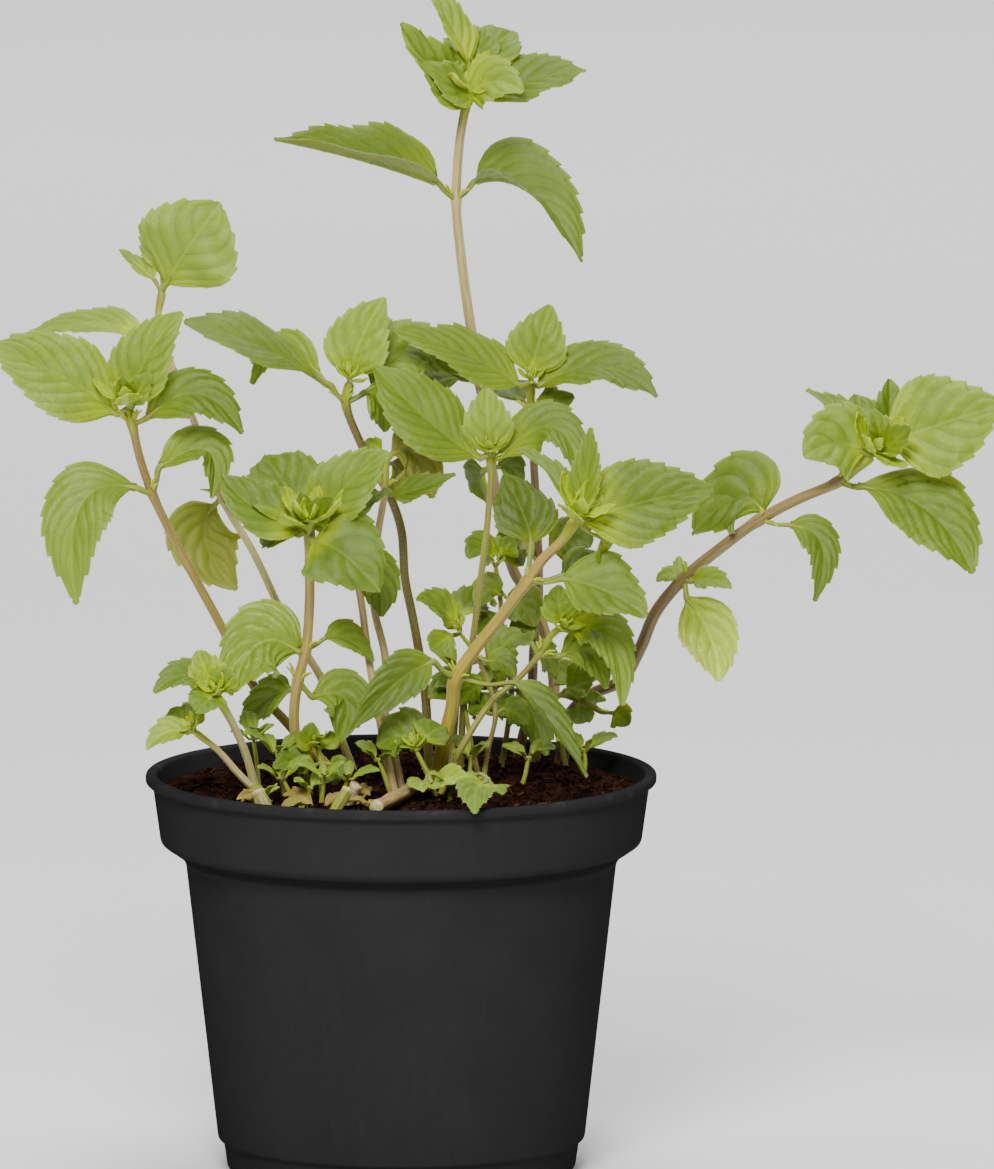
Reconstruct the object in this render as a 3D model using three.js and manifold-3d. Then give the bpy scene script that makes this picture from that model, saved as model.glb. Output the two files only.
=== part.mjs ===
// Potted mint: a black nursery pot, its soil and the leafy shoots that stand in it.
//
// Millimetres, +Z up. The origin is the centre of the pot's flat underside, and the
// pot's axis is Z. The front of the plant, with its nearest leaves, looks towards -Y.

import * as THREE from "three";
import { mergeVertices } from "three/addons/utils/BufferGeometryUtils.js";
import Module from "manifold-3d";

const wasm = await Module();
wasm.setup();

// ---------------------------------------------------------------- driving dimensions

const CLEARANCE = 0.35; // between two pieces that touch

// Pot: a 13 cm nursery pot. From the ground up it has a set-in foot, a tapered wall, a
// shoulder that steps outwards, a tapered band and a lip.
const POT_HEIGHT = 102;
const POT_WALL = 1.3;
const POT_ROUNDING = 0.7; // at the lip's edges and the foot's
const LIP_RADIUS = 65;
const LIP_HEIGHT = 2.8;
const BAND_TOP_RADIUS = 63.3;
const BAND_BOTTOM_RADIUS = 61.2;
const BAND_BOTTOM = 84.5;
const SHOULDER_RADIUS = 56;
const SHOULDER_BOTTOM = 81;
const WALL_TOP_RADIUS = 54.8;
const WALL_TOP = 79;
const WALL_BOTTOM_RADIUS = 46.8;
const FOOT_HEIGHT = 8.2;
const FOOT_TOP_RADIUS = 45.4;
const FOOT_BOTTOM_RADIUS = 44.4;
const FLOOR_THICKNESS = 1.6;
const ROUND_SEGMENTS = 32;

const DRAIN_HOLES = 6;
const DRAIN_RADIUS = 3.6;
const DRAIN_CIRCLE_RADIUS = 29;
const DRAIN_SEGMENTS = 12;

// Soil: it fills the pot to a little below the lip, highest in the middle, with low waves.
const SOIL_EDGE = 97.2;
const SOIL_TOP = 99.2;
const SOIL_EDGE_RADIUS = 60.85;
const SOIL_RINGS = [0.985, 0.72, 0.36, 0]; // of its top, as shares of the edge's radius
const SOIL_WAVES = [
  { alongX: 0.21, alongY: 0.17, height: 0.7 },
  { alongX: -0.26, alongY: 0.37, height: 0.4 },
];

// Shoots: squarish stems with leaves in opposite pairs.
const ROOT_DEPTH = 11; // how far a stem goes down into its hole in the soil
const ROOT_RINGS = 3; // rings of a stem that lie in its hole or at the hole's mouth
const STEM_SIDES = 4; // mint stems are square
const STEM_STEP = 18; // a longer stretch between two of a stem's points gets one more ring
const STEM_TIP_RATIO = 0.45; // thickness of a shoot's very tip against the stem below it
const BLADE_THICKNESS = 0.7;
const TOOTH_LENGTH = 9.6; // of blade for each pair of teeth on its edge
const FEWEST_TEETH = 2;
const MOST_TEETH = 5;
const NOTCH_RATIO = 0.86; // half-width at a notch against the half-width at a tooth
const TOOTH_AT = 0.75; // where a tooth's point is between two notches
const SHOULDER_AT = 0.4; // the same for the first one, which rounds the blade's base
const WIDEST_AT = 0.36; // where along its length a blade is widest
const BASE_FULLNESS = 1.15; // above 1, a blade narrows in a wedge towards its stalk
const TIP_FULLNESS = 0.72; // below 1, it stays broad towards its tip
const STALK_RADIUS = 0.75; // half the thickness of a leaf's stalk

// ---------------------------------------------------------------- the shoots

// Each shoot has its stem's thickness (radius at the soil and at the top), the
// points that the stem runs through from the soil up, and its leaves. A leaf is
// [stem point that it grows from, base of its blade, middle of its midrib, tip,
// width, the way its upper side faces, fold in degrees, and where it is widest if
// that isn't WIDEST_AT].
const SHOOTS = [
  // The tallest one, at the back: a bare stem with a pair of leaves below its top.
  {
    name: "shoot_tall",
    thick: [1.9, 1.3],
    stem: [
      [34, 40, 100], [37, 39, 111], [39, 39, 117], [37, 37, 131], [33, 35, 142],
      [29, 34, 148], [25, 31, 164], [20, 26, 199], [17, 21, 218], [15, 17, 234],
      [14, 13, 247], [15, 10, 263], [17, 8, 274],
    ],
    leaves: [
      [7, [15, 25, 200], [3, 21, 205], [-8, 17, 207], 22, [0.2, -0.65, 0.75], 20],
      [10, [9, 10, 252], [-10, 2, 259], [-32, -8, 265], 26, [0.1, -0.36, 0.92], 36, 0.26],
      [10, [19, 12, 252], [33, 6, 250], [46, -4, 233], 29, [0.45, -0.42, 0.78], 32, 0.28],
      [12, [15, 6, 274], [8, 1, 282], [0, -4, 294], 20, [0.4, -0.68, 0.6], 24, 0.26],
      [12, [20, 7, 275], [34, 5, 279], [47, 4, 281], 18, [0.05, -0.62, 0.78], 12],
      [12, [17, 3, 274], [23, -3, 279], [31, -9, 277], 15, [-0.1, -0.85, 0.5], 10, 0.36],
      [12, [17, 9, 282], [12, 10, 293], [4, 12, 304], 14, [0.8, -0.55, 0.3], 25],
      [12, [20, 11, 280], [24, 16, 286], [29, 21, 289], 18, [-0.2, -0.75, 0.6], 18],
      [12, [19, 11, 281], [20, 15, 286], [21, 19, 290], 12, [0, -0.9, 0.45], 20],
      [12, [18, 12, 283], [15, 17, 285], [11, 24, 287], 9, [0.3, -0.7, 0.6], 20],
    ],
  },
  // Upright, behind the tall one, with two wide leaves spread half way up.
  {
    name: "shoot_upright_back",
    thick: [1.6, 1.1],
    stem: [
      [30, 46, 100], [33, 45, 114], [34, 43, 130], [35, 40, 140], [35, 34, 152],
      [34, 23, 174], [33, 15, 192], [33, 12, 200],
    ],
    leaves: [
      [4, [32, 30, 154], [28, 24, 157], [30, 21, 161], 12, [0, -0.8, 0.5], 15],
      [4, [38, 30, 155], [44, 27, 158], [48, 25, 156], 14, [0.2, -0.8, 0.5], 15],
      [7, [33, 11, 203], [35, 11, 211], [38, 14, 220], 17, [0, -0.95, 0.3], 18],
      [7, [30, 10, 200], [15, 6, 209], [-2, 2, 215], 18, [0.1, -0.66, 0.74], 12],
      [7, [35, 10, 200], [51, 6, 205], [65, 0, 198], 18, [0.1, -0.55, 0.8], 18],
      [6, [31, 18, 195], [28, 24, 197], [26, 30, 199], 12, [0.2, -0.8, 0.5], 15],
      [6, [34, 14, 195], [38, 12, 195], [44, 12, 197], 12, [0, -0.8, 0.5], 15],
    ],
  },
  // Upright in the middle, with one broad leaf to the left and one erect leaf.
  {
    name: "shoot_middle",
    thick: [1.1, 0.9],
    stem: [
      [15, 17, 100], [16, 13, 119], [18, 9, 133], [20, 6, 149], [22, 3, 166], [23, 0, 181],
      [23, -1, 184],
    ],
    leaves: [
      [6, [23, -2, 184], [22, -4, 193], [22, -3, 201], 14, [0, -0.98, 0.2], 15],
      [6, [20, -2, 183], [8, -5, 192], [-7, -5, 207], 21, [0.3, -0.82, 0.48], 16, 0.52],
      [6, [25, -1, 183], [39, -4, 191], [45, -10, 178], 15, [0.3, -0.75, 0.6], 15],
      [5, [21, 3, 179], [20, 8, 175], [22, 13, 169], 13, [-0.5, -0.75, 0.2], 12],
      [5, [25, 3, 180], [28, 6, 179], [31, 9, 174], 12, [0.5, -0.75, 0.3], 12],
      [1, [15, 12, 119], [12, 9, 122], [7, 6, 120], 13, [0, -0.85, 0.5], 12],
    ],
  },
  // The thick one in front, leaning right, with the large leaf that faces forwards.
  {
    name: "shoot_front",
    thick: [2.4, 1.4],
    stem: [
      [9, -9, 100], [11, -14, 112], [13, -17, 121], [14, -20, 129], [19, -22, 137],
      [25, -25, 145], [32, -28, 155], [36, -30, 161], [41, -31, 166], [44, -32, 171],
    ],
    leaves: [
      [3, [8, -24, 134], [-1, -27, 129], [-12, -30, 118], 14, [0.2, -0.85, 0.5], 25],
      [3, [29, -21, 128], [37, -25, 120], [47, -30, 105], 12, [0.6, -0.6, 0.5], 35],
      [6, [33, -24, 164], [31, -19, 171], [26, -12, 180], 18, [0.1, -0.9, 0.4], 22],
      [6, [41, -30, 157], [53, -32, 156], [62, -35, 150], 21, [0.15, -0.75, 0.62], 18],
      [6, [40, -24, 158], [47, -21, 160], [53, -18, 157], 13, [0.2, -0.7, 0.7], 15],
      [9, [45, -33, 173], [47, -34, 184], [48, -34, 195], 10, [-0.2, -0.95, 0.2], 30],
      [9, [48, -32, 172], [63, -32, 176], [79, -32, 179], 23, [0.05, -0.9, 0.4], 15],
      [9, [43, -31, 172], [38, -27, 182], [29, -23, 188], 9, [0.55, -0.6, 0.6], 38],
      [9, [51, -30, 166], [51, -27, 162], [50, -22, 159], 7, [0.3, -0.8, 0.5], 15],
    ],
  },
  // It arches out over the rim to the right, with hanging leaves on its way.
  {
    name: "shoot_arching",
    thick: [2.1, 1.5],
    stem: [
      [41, 36, 100], [43, 36, 111], [49, 34, 117], [56, 30, 121], [61, 26, 130],
      [65, 22, 140], [72, 19, 149], [81, 16, 157], [91, 12, 165], [101, 8, 171],
      [111, 4, 176], [119, 0, 183],
    ],
    leaves: [
      [6, [71, 19, 149], [68, 20, 150], [65, 21, 148], 6, [0, -0.7, 0.7], 15],
      [6, [72, 21, 150], [71, 23, 152], [71, 25, 154], 4, [0, -0.9, 0.4], 15],
      [6, [74, 14, 149], [79, 11, 150], [84, 8, 148], 8, [0, -0.75, 0.6], 15],
      [6, [73, 18, 144], [79, 15, 134], [81, 15, 123], 16, [0.1, -0.92, 0.35], 10],
      [8, [92, 14, 167], [85, 17, 170], [74, 20, 160], 26, [-0.2, -0.75, 0.6], 14],
      [8, [99, 11, 164], [107, 8, 159], [105, 5, 145], 11, [0.35, -0.9, 0.3], 12],
      [11, [118, -1, 184], [110, -5, 187], [102, -9, 184], 22, [-0.1, -0.9, 0.4], 15],
      [11, [118, 3, 185], [112, 9, 192], [103, 16, 198], 12, [0.4, -0.5, 0.7], 30],
      [11, [121, 5, 185], [118, 14, 190], [116, 22, 196], 16, [0.1, -0.8, 0.5], 18],
      [11, [124, -1, 187], [138, -2, 192], [153, -3, 197], 28, [0, -0.92, 0.4], 12],
      [11, [123, 2, 187], [124, 4, 194], [124, 7, 202], 12, [0.2, -0.95, 0.2], 25],
      [11, [121, -3, 186], [121, -7, 191], [119, -8, 196], 9, [0.1, -0.95, 0.3], 22],
      [11, [122, -4, 185], [126, -9, 189], [129, -12, 192], 9, [0, -0.9, 0.4], 22],
      [10, [116, 2, 175], [133, -3, 170], [145, -8, 154], 23, [0.3, -0.8, 0.5], 15, 0.5],
    ],
  },
  // Left of the middle, with a long level leaf and an erect one on top.
  {
    name: "shoot_left_of_middle",
    thick: [1.4, 1.2],
    stem: [
      [7, 12, 103], [6, 11, 121], [3, 10, 140], [1, 10, 150], [0, 9, 163], [-3, 8, 172],
      [-7, 7, 179], [-10, 6, 185], [-14, 5, 196], [-13, 4, 201],
    ],
    leaves: [
      [9, [-13, 4, 203], [-10, 3, 213], [-4, 5, 223], 18, [-0.15, -0.95, 0.25], 18],
      [8, [-18, 3, 201], [-35, -1, 211], [-55, -3, 218], 23, [0, -0.42, 0.9], 10, 0.6],
      [8, [-9, 5, 199], [-5, 7, 195], [-4, 9, 188], 12, [0.4, -0.8, 0.4], 15],
      [8, [-7, 9, 200], [3, 13, 209], [15, 15, 202], 20, [0.05, -0.75, 0.65], 10],
      [8, [-21, 11, 203], [-31, 16, 208], [-38, 18, 199], 12, [-0.3, -0.7, 0.5], 20],
    ],
  },
  // Slender, with small dark leaves at its top.
  {
    name: "shoot_brown_leaved",
    thick: [1.3, 1.0],
    stem: [
      [0, -11, 100], [-2, -8, 109], [-4, -6, 118], [-4, -4, 132], [-7, -2, 146],
      [-6, -1, 162], [-4, -2, 175], [-4, -3, 182],
    ],
    leaves: [
      [7, [-2, -1, 184], [4, 0, 183], [8, 1, 172], 17, [0.1, -0.9, 0.4], 12],
      [7, [-2, 2, 181], [0, 5, 177], [1, 6, 170], 12, [0.2, -0.85, 0.4], 15],
      [7, [-5, -2, 185], [-7, 0, 186], [-9, 2, 187], 5, [-0.3, -0.7, 0.6], 15],
      [6, [-2, -6, 174], [5, -9, 176], [14, -11, 180], 9, [0, -0.75, 0.65], 22],
      [6, [-5, -8, 175], [-7, -12, 175], [-10, -16, 171], 10, [-0.3, -0.75, 0.5], 22],
    ],
  },
  // Slender, close beside the brown-leaved one.
  {
    name: "shoot_behind_left",
    thick: [1.3, 1.0],
    stem: [
      [-2, -16, 101], [-4, -14, 110], [-6, -12, 121], [-8, -11, 132], [-10, -10, 147],
      [-12, -9, 158], [-13, -9, 166],
    ],
    leaves: [
      [6, [-14, -10, 168], [-15, -11, 169], [-16, -13, 170], 6, [0, -0.8, 0.6], 15],
      [6, [-12, -9, 168], [-11, -9, 169], [-10, -9, 170], 6, [0, -0.8, 0.6], 15],
      [5, [-11, -8, 159], [-6, -7, 152], [-5, -8, 143], 14, [0.3, -0.9, 0.3], 15],
    ],
  },
  // In front on the left, with a crown of leaves at half height.
  {
    name: "shoot_left_front",
    thick: [1.6, 1.4],
    stem: [
      [-24, -18, 101], [-26, -18, 110], [-27, -18, 119], [-26, -18, 128], [-24, -18, 136],
      [-23, -19, 149], [-23, -19, 158], [-23, -20, 167],
    ],
    leaves: [
      [7, [-24, -19, 168], [-30, -15, 179], [-35, -9, 184], 23, [0.2, -0.85, 0.5], 15],
      [7, [-25, -22, 167], [-37, -22, 173], [-45, -20, 181], 18, [0.2, -0.8, 0.6], 22],
      [7, [-21, -20, 169], [-13, -21, 179], [-3, -20, 187], 18, [-0.1, -0.9, 0.4], 20],
      [7, [-26, -21, 166], [-32, -18, 166], [-35, -14, 162], 13, [-0.1, -0.7, 0.7], 15],
      [7, [-22, -25, 165], [-14, -30, 162], [-5, -34, 153], 26, [0.1, -0.8, 0.6], 15],
      [7, [-23, -21, 168], [-24, -23, 172], [-25, -23, 177], 9, [0.1, -0.9, 0.4], 25],
      [7, [-22, -21, 168], [-20, -24, 172], [-17, -26, 176], 10, [-0.1, -0.85, 0.5], 25],
      [7, [-23, -23, 167], [-22, -28, 170], [-21, -33, 171], 8, [0, -0.5, 0.9], 20],
      [4, [-26, -19, 136], [-36, -21, 138], [-43, -23, 125], 22, [-0.1, -0.9, 0.45], 10],
      [4, [-19, -17, 139], [-13, -15, 138], [-7, -13, 132], 11, [0.3, -0.6, 0.6], 28],
      [3, [-22, -17, 124], [-14, -16, 123], [-16, -18, 112], 15, [0.2, -0.85, 0.5], 15],
      [3, [-28, -13, 125], [-34, -8, 122], [-41, -4, 115], 12, [0, -0.8, 0.6], 15],
    ],
  },
  // It leans out over the rim to the far left.
  {
    name: "shoot_far_left",
    thick: [1.5, 1.2],
    stem: [
      [-19, 5, 103], [-24, 5, 108], [-29, 4, 114], [-37, 3, 123], [-44, 1, 136],
      [-47, 0, 142], [-57, -2, 161], [-63, -4, 174], [-66, -5, 183], [-68, -6, 192],
      [-69, -6, 196],
    ],
    leaves: [
      [10, [-72, -7, 195], [-86, -10, 205], [-105, -12, 213], 24, [0.1, -0.85, 0.55], 12, 0.42],
      [10, [-68, -7, 197], [-64, -9, 210], [-55, -9, 221], 18, [-0.25, -0.9, 0.4], 18],
      [9, [-64, -6, 194], [-51, -8, 200], [-40, -10, 190], 16, [0.1, -0.75, 0.65], 15],
      [10, [-66, 6, 213], [-78, 10, 216], [-97, 13, 212], 13, [0, -0.4, 0.9], 15],
      [10, [-68, -9, 198], [-66, -12, 202], [-63, -13, 206], 8, [0, -0.9, 0.4], 22],
      [10, [-69, -9, 198], [-70, -12, 202], [-70, -13, 205], 7, [0, -0.9, 0.4], 22],
      [7, [-67, -7, 176], [-81, -13, 172], [-82, -15, 147], 20, [-0.3, -0.85, 0.45], 12, 0.45],
      [7, [-61, -4, 181], [-49, -4, 185], [-48, -6, 173], 15, [0.35, -0.55, 0.75], 28],
    ],
  },
  // Behind on the left, topped by a broad round leaf that faces forwards.
  {
    name: "shoot_round_leaf",
    thick: [1.25, 1.0],
    stem: [
      [-13, 20, 101], [-17, 20, 112], [-20, 20, 122], [-24, 20, 129], [-28, 20, 135],
      [-31, 20, 141], [-38, 20, 156], [-46, 20, 170], [-52, 21, 187], [-58, 22, 202],
      [-62, 24, 214], [-61, 25, 222],
    ],
    leaves: [
      [11, [-60, 24, 224], [-54, 22, 234], [-46, 24, 245], 28, [-0.1, -0.95, 0.3], 6, 0.47],
      [11, [-63, 26, 225], [-67, 29, 228], [-72, 32, 232], 7, [0.3, -0.6, 0.7], 25],
      [11, [-61, 28, 226], [-63, 33, 232], [-67, 37, 238], 9, [0.2, -0.9, 0.4], 20],
      [7, [-48, 24, 167], [-50, 27, 157], [-42, 26, 145], 21, [0, -0.95, 0.3], 15],
    ],
  },
  // A short one that leans out to the left, just above the rim.
  {
    name: "shoot_low_left",
    thick: [1.2, 1.2],
    stem: [
      [-37, -22, 102], [-39, -24, 110], [-42, -28, 118], [-46, -32, 126],
    ],
    leaves: [
      [3, [-47, -32, 128], [-49, -33, 133], [-51, -32, 138], 12, [-0.1, -0.95, 0.3], 22],
      [3, [-49, -33, 129], [-55, -35, 132], [-62, -38, 128], 11, [0, -0.65, 0.75], 22],
      [3, [-47, -36, 127], [-49, -41, 126], [-51, -45, 124], 11, [0, -0.6, 0.7], 12],
      [3, [-45, -33, 128], [-44, -35, 131], [-43, -35, 134], 9, [0, -0.9, 0.4], 18],
    ],
  },
  // The shortest and lowest one on the left.
  {
    name: "shoot_lowest_left",
    thick: [1.3, 0.8],
    stem: [
      [-35, -28, 100], [-41, -28, 106], [-46, -29, 112], [-52, -30, 117],
    ],
    leaves: [
      [3, [-54, -31, 117], [-59, -32, 117], [-64, -34, 113], 9, [0, -0.7, 0.7], 22],
      [3, [-53, -29, 118], [-56, -28, 120], [-59, -26, 121], 11, [0, -0.85, 0.5], 18],
      [3, [-52, -30, 119], [-51, -30, 121], [-52, -29, 123], 4, [0, -0.95, 0.3], 15],
    ],
  },
  // A slender one that leans right from the front, with a hanging leaf.
  {
    name: "shoot_small_right",
    thick: [1.0, 0.8],
    stem: [
      [12, -16, 103], [15, -17, 110], [23, -13, 122], [30, -12, 128], [35, -13, 134],
      [38, -14, 139], [40, -15, 141],
    ],
    leaves: [
      [6, [41, -17, 143], [40, -19, 148], [40, -20, 153], 11, [0.1, -0.95, 0.3], 20],
      [6, [42, -14, 142], [48, -13, 145], [52, -13, 144], 10, [0, -0.75, 0.6], 18],
      [6, [43, -16, 141], [53, -22, 139], [56, -27, 123], 15, [0.5, -0.8, 0.4], 15],
      [4, [41, -12, 134], [48, -11, 134], [52, -12, 125], 13, [0.3, -0.8, 0.5], 18],
      [4, [33, -12, 137], [31, -9, 137], [29, -6, 137], 8, [0, -0.7, 0.7], 18],
    ],
  },
  // Young sprigs with small leaves, close to the soil.
  {
    name: "sprig_back_right",
    thick: [0.9, 0.7],
    stem: [
      [41, 30, 103], [39, 27, 112], [40, 24, 118], [46, 20, 117], [51, 17, 115],
      [53, 15, 115],
    ],
    leaves: [
      [3, [45, 19, 116], [45, 18, 114], [44, 17, 112], 9, [0, -1, 0.1], 8],
      [4, [49, 18, 117], [49, 19, 118], [49, 20, 120], 7, [0, -1, 0.2], 8],
      [5, [54, 15, 115], [56, 14, 114], [58, 13, 112], 8, [0.2, -1, 0.1], 8],
      [2, [42, 22, 120], [46, 19, 123], [51, 17, 126], 11, [0, -0.8, 0.6], 15],
      [2, [37, 23, 116], [35, 21, 113], [34, 19, 109], 9, [-0.2, -0.9, 0.3], 12],
    ],
  },
  {
    name: "sprig_middle",
    thick: [0.8, 0.6],
    stem: [
      [21, -6, 101], [22, -4, 108], [24, -1, 117], [22, 2, 125], [19, 0, 132],
      [15, -2, 138],
    ],
    leaves: [
      [5, [14, -4, 141], [9, -8, 146], [4, -12, 148], 11, [0.1, -0.75, 0.6], 22],
      [5, [15, 10, 141], [18, 20, 143], [22, 23, 145], 11, [0, -0.85, 0.5], 15],
      [5, [13, -6, 138], [10, -10, 137], [8, -13, 135], 8, [0, -0.8, 0.6], 15],
      [3, [24, 3, 127], [27, 4, 135], [32, 5, 134], 10, [0, -0.8, 0.6], 15],
      [3, [21, 4, 124], [18, 7, 122], [15, 9, 118], 8, [0, -0.9, 0.4], 12],
      [2, [26, 1, 118], [29, 2, 117], [32, 2, 114], 9, [0, -0.9, 0.4], 12],
      [2, [22, 3, 117], [20, 6, 118], [17, 9, 116], 9, [0, -0.9, 0.4], 12],
    ],
  },
  {
    name: "sprig_behind_middle",
    thick: [0.9, 0.7],
    stem: [
      [25, 24, 97], [27, 24, 109], [28, 23, 120], [26, 22, 133], [25, 21, 146],
      [24, 20, 152],
    ],
    leaves: [
      [5, [23, 19, 154], [20, 16, 157], [17, 13, 155], 11, [0, -0.8, 0.6], 20],
      [5, [26, 20, 155], [27, 20, 157], [29, 21, 159], 9, [0, -0.85, 0.5], 20],
      [3, [28, 20, 134], [31, 18, 136], [34, 16, 134], 10, [0, -0.8, 0.6], 15],
      [3, [24, 20, 135], [22, 18, 137], [19, 16, 135], 10, [0, -0.8, 0.6], 15],
      [2, [30, 20, 120], [34, 17, 113], [37, 14, 104], 12, [0.3, -0.9, 0.3], 15],
    ],
  },
  {
    name: "sprig_front",
    thick: [0.8, 0.7],
    stem: [
      [8, -23, 102], [7, -24, 105], [4, -24, 111],
    ],
    leaves: [
      [2, [3, -24, 112], [0, -23, 115], [-6, -22, 112], 16, [0, -0.75, 0.6], 15],
      [2, [6, -25, 114], [8, -24, 116], [11, -20, 117], 12, [-0.1, -0.85, 0.5], 15],
      [1, [8, -30, 104], [12, -36, 106], [17, -40, 107], 10, [0, -0.7, 0.7], 20],
      [1, [6, -30, 104], [5, -34, 104], [6, -38, 103], 8, [0, -0.7, 0.7], 20],
    ],
  },
  {
    name: "sprig_over_rim",
    thick: [0.7, 0.6],
    stem: [
      [16, -26, 99], [18, -30, 104], [20, -36, 107], [22, -42, 107],
    ],
    leaves: [
      [3, [21, -50, 107], [19, -58, 106], [19, -67, 102], 11, [0, -0.85, 0.6], 12],
      [3, [23, -46, 106], [24, -51, 106], [26, -55, 105], 8, [0.2, -0.8, 0.6], 12],
    ],
  },
  {
    name: "sprig_low_middle_left",
    thick: [0.8, 0.7],
    stem: [
      [-20, -24, 102], [-20, -24, 108], [-21, -24, 112],
    ],
    leaves: [
      [2, [-22, -25, 113], [-23, -27, 115], [-22, -28, 119], 8, [0, -0.95, 0.3], 15],
      [2, [-20, -23, 112], [-18, -22, 114], [-18, -24, 116], 7, [0, -0.95, 0.3], 15],
      [1, [-18, -25, 108], [-16, -26, 107], [-17, -28, 103], 7, [0, -0.95, 0.3], 12],
      [1, [-22, -26, 108], [-27, -28, 109], [-32, -32, 108], 9, [0, -0.8, 0.6], 15],
      [1, [-20, -28, 107], [-19, -33, 106], [-20, -38, 105], 7, [0, -0.75, 0.65], 15],
    ],
  },
];

// Old stems: one lies along the soil, and the others are cut off short.
const CUT_STEMS = [
  {
    name: "old_stem_lying",
    radius: 2,
    path: [[5, -14, 94], [4, -20, 100.4], [0, -36, 101.6], [-6, -54, 101.4]],
  },
  { name: "cut_stub_front", radius: 1.6, path: [[-19, -47, 92], [-16, -46, 100], [-13, -44, 104.5]] },
  { name: "cut_stub_middle", radius: 1.8, path: [[-15, -31, 92], [-13, -32, 100], [-11, -33, 104]] },
  { name: "cut_stub_left", radius: 2, path: [[-34, -45, 92], [-34, -43, 99], [-36, -41, 103.5]] },
];

// ---------------------------------------------------------------- materials

function material(colour, roughness) {
  return new THREE.MeshStandardMaterial({ color: colour, roughness, metalness: 0 });
}

const blackPlastic = material(0x333333, 0.5);
const wetPeat = material(0x1a120d, 1);
const mintGreen = material(0x8fa249, 0.65);
const oldStem = material(0xb0a070, 0.75);

// ---------------------------------------------------------------- solids

/** The solid of a closed geometry. */
function solidOf(geometry) {
  const bare = geometry.clone();
  bare.deleteAttribute("normal");
  bare.deleteAttribute("uv");
  const merged = mergeVertices(bare, 1e-3);
  return new wasm.Manifold(new wasm.Mesh({
    numProp: 3,
    vertProperties: new Float32Array(merged.attributes.position.array),
    triVerts: new Uint32Array(merged.index.array),
  }));
}

/** The geometry of a solid, with flat faces. */
function geometryOf(solid) {
  const { vertProperties, triVerts, numProp } = solid.getMesh();
  const corners = new Float32Array(triVerts.length * 3);
  triVerts.forEach((vertex, i) => {
    for (let axis = 0; axis < 3; axis += 1) {
      corners[3 * i + axis] = vertProperties[vertex * numProp + axis];
    }
  });
  const geometry = new THREE.BufferGeometry();
  geometry.setAttribute("position", new THREE.BufferAttribute(corners, 3));
  geometry.computeVertexNormals();
  return geometry;
}

/** The largest body of a solid, without loose scraps or sealed hollows. */
function oneBody(solid) {
  const bodies = solid.decompose();
  bodies.sort((a, b) => b.volume() - a.volume());
  return bodies[0];
}

function fuse(solids) {
  return oneBody(solids.reduce((joined, next) => joined.add(next)));
}

function geometryFrom(points, triangles) {
  const geometry = new THREE.BufferGeometry();
  const coordinates = points.flatMap((point) => point.toArray());
  geometry.setAttribute("position", new THREE.Float32BufferAttribute(coordinates, 3));
  geometry.setIndex(triangles);
  return geometry;
}

const vector = (xyz) => new THREE.Vector3(...xyz);

// ---------------------------------------------------------------- stems

/**
 * A closed limb along `points`, with a ring of corners round each point. `radii`
 * holds the limb's radius at each point, and the ends are flat.
 */
function limb(points, radii, sides) {
  const corners = [];
  const triangles = [];
  const start = points[1].clone().sub(points[0]);
  let side = Math.abs(start.x) < start.length() * 0.8
    ? new THREE.Vector3(1, 0, 0)
    : new THREE.Vector3(0, 1, 0);
  points.forEach((point, ring) => {
    const before = points[Math.max(ring - 1, 0)];
    const after = points[Math.min(ring + 1, points.length - 1)];
    const along = after.clone().sub(before).normalize();
    side = side.clone().addScaledVector(along, -side.dot(along)).normalize();
    const across = new THREE.Vector3().crossVectors(along, side);
    for (let k = 0; k < sides; k += 1) {
      const turn = (2 * Math.PI * k) / sides;
      corners.push(point.clone()
        .addScaledVector(side, radii[ring] * Math.cos(turn))
        .addScaledVector(across, radii[ring] * Math.sin(turn)));
    }
  });
  const lastRing = (points.length - 1) * sides;
  for (let k = 0; k < sides; k += 1) {
    const next = (k + 1) % sides;
    for (let ring = 0; ring < lastRing; ring += sides) {
      triangles.push(ring + k, ring + next, ring + sides + next);
      triangles.push(ring + k, ring + sides + next, ring + sides + k);
    }
  }
  for (let k = 1; k < sides - 1; k += 1) {
    triangles.push(0, k + 1, k);
    triangles.push(lastRing, lastRing + k, lastRing + k + 1);
  }
  return geometryFrom(corners, triangles);
}

/** A shoot's stem points, from the end of its root to its tip. */
function stemPoints({ stem }) {
  const points = stem.map(vector);
  const down = points[0].clone().sub(points[1]).normalize();
  points.unshift(points[0].clone().addScaledVector(down, ROOT_DEPTH));
  return points;
}

/** Rings through all of the stem's points, and the radius at each ring. */
function stemRings(shoot) {
  const knots = stemPoints(shoot);
  const curve = new THREE.CatmullRomCurve3(knots, false, "centripetal");
  const stretches = knots.length - 1;
  const points = [];
  const radii = [];
  const [atSoil, atTop] = shoot.thick;
  const put = (share) => {
    const taper = share === 1 ? STEM_TIP_RATIO : 1;
    points.push(curve.getPoint(share));
    radii.push(taper * THREE.MathUtils.lerp(atSoil, atTop, share));
  };
  for (let i = 0; i < stretches; i += 1) {
    put(i / stretches);
    if (knots[i].distanceTo(knots[i + 1]) > STEM_STEP) put((i + 0.5) / stretches);
  }
  put(1);
  return { points, radii };
}

function stemSolid(shoot) {
  const { points, radii } = stemRings(shoot);
  return solidOf(limb(points, radii, STEM_SIDES));
}

// ---------------------------------------------------------------- leaves

/** Half-width of a blade against its greatest half-width, from its base 0 to its tip 1. */
function outline(t, widestAt) {
  const stretch = Math.log(0.5) / Math.log(widestAt);
  const fullness = THREE.MathUtils.lerp(BASE_FULLNESS, TIP_FULLNESS, t);
  return Math.sin(Math.PI * t ** stretch) ** fullness;
}

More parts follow.
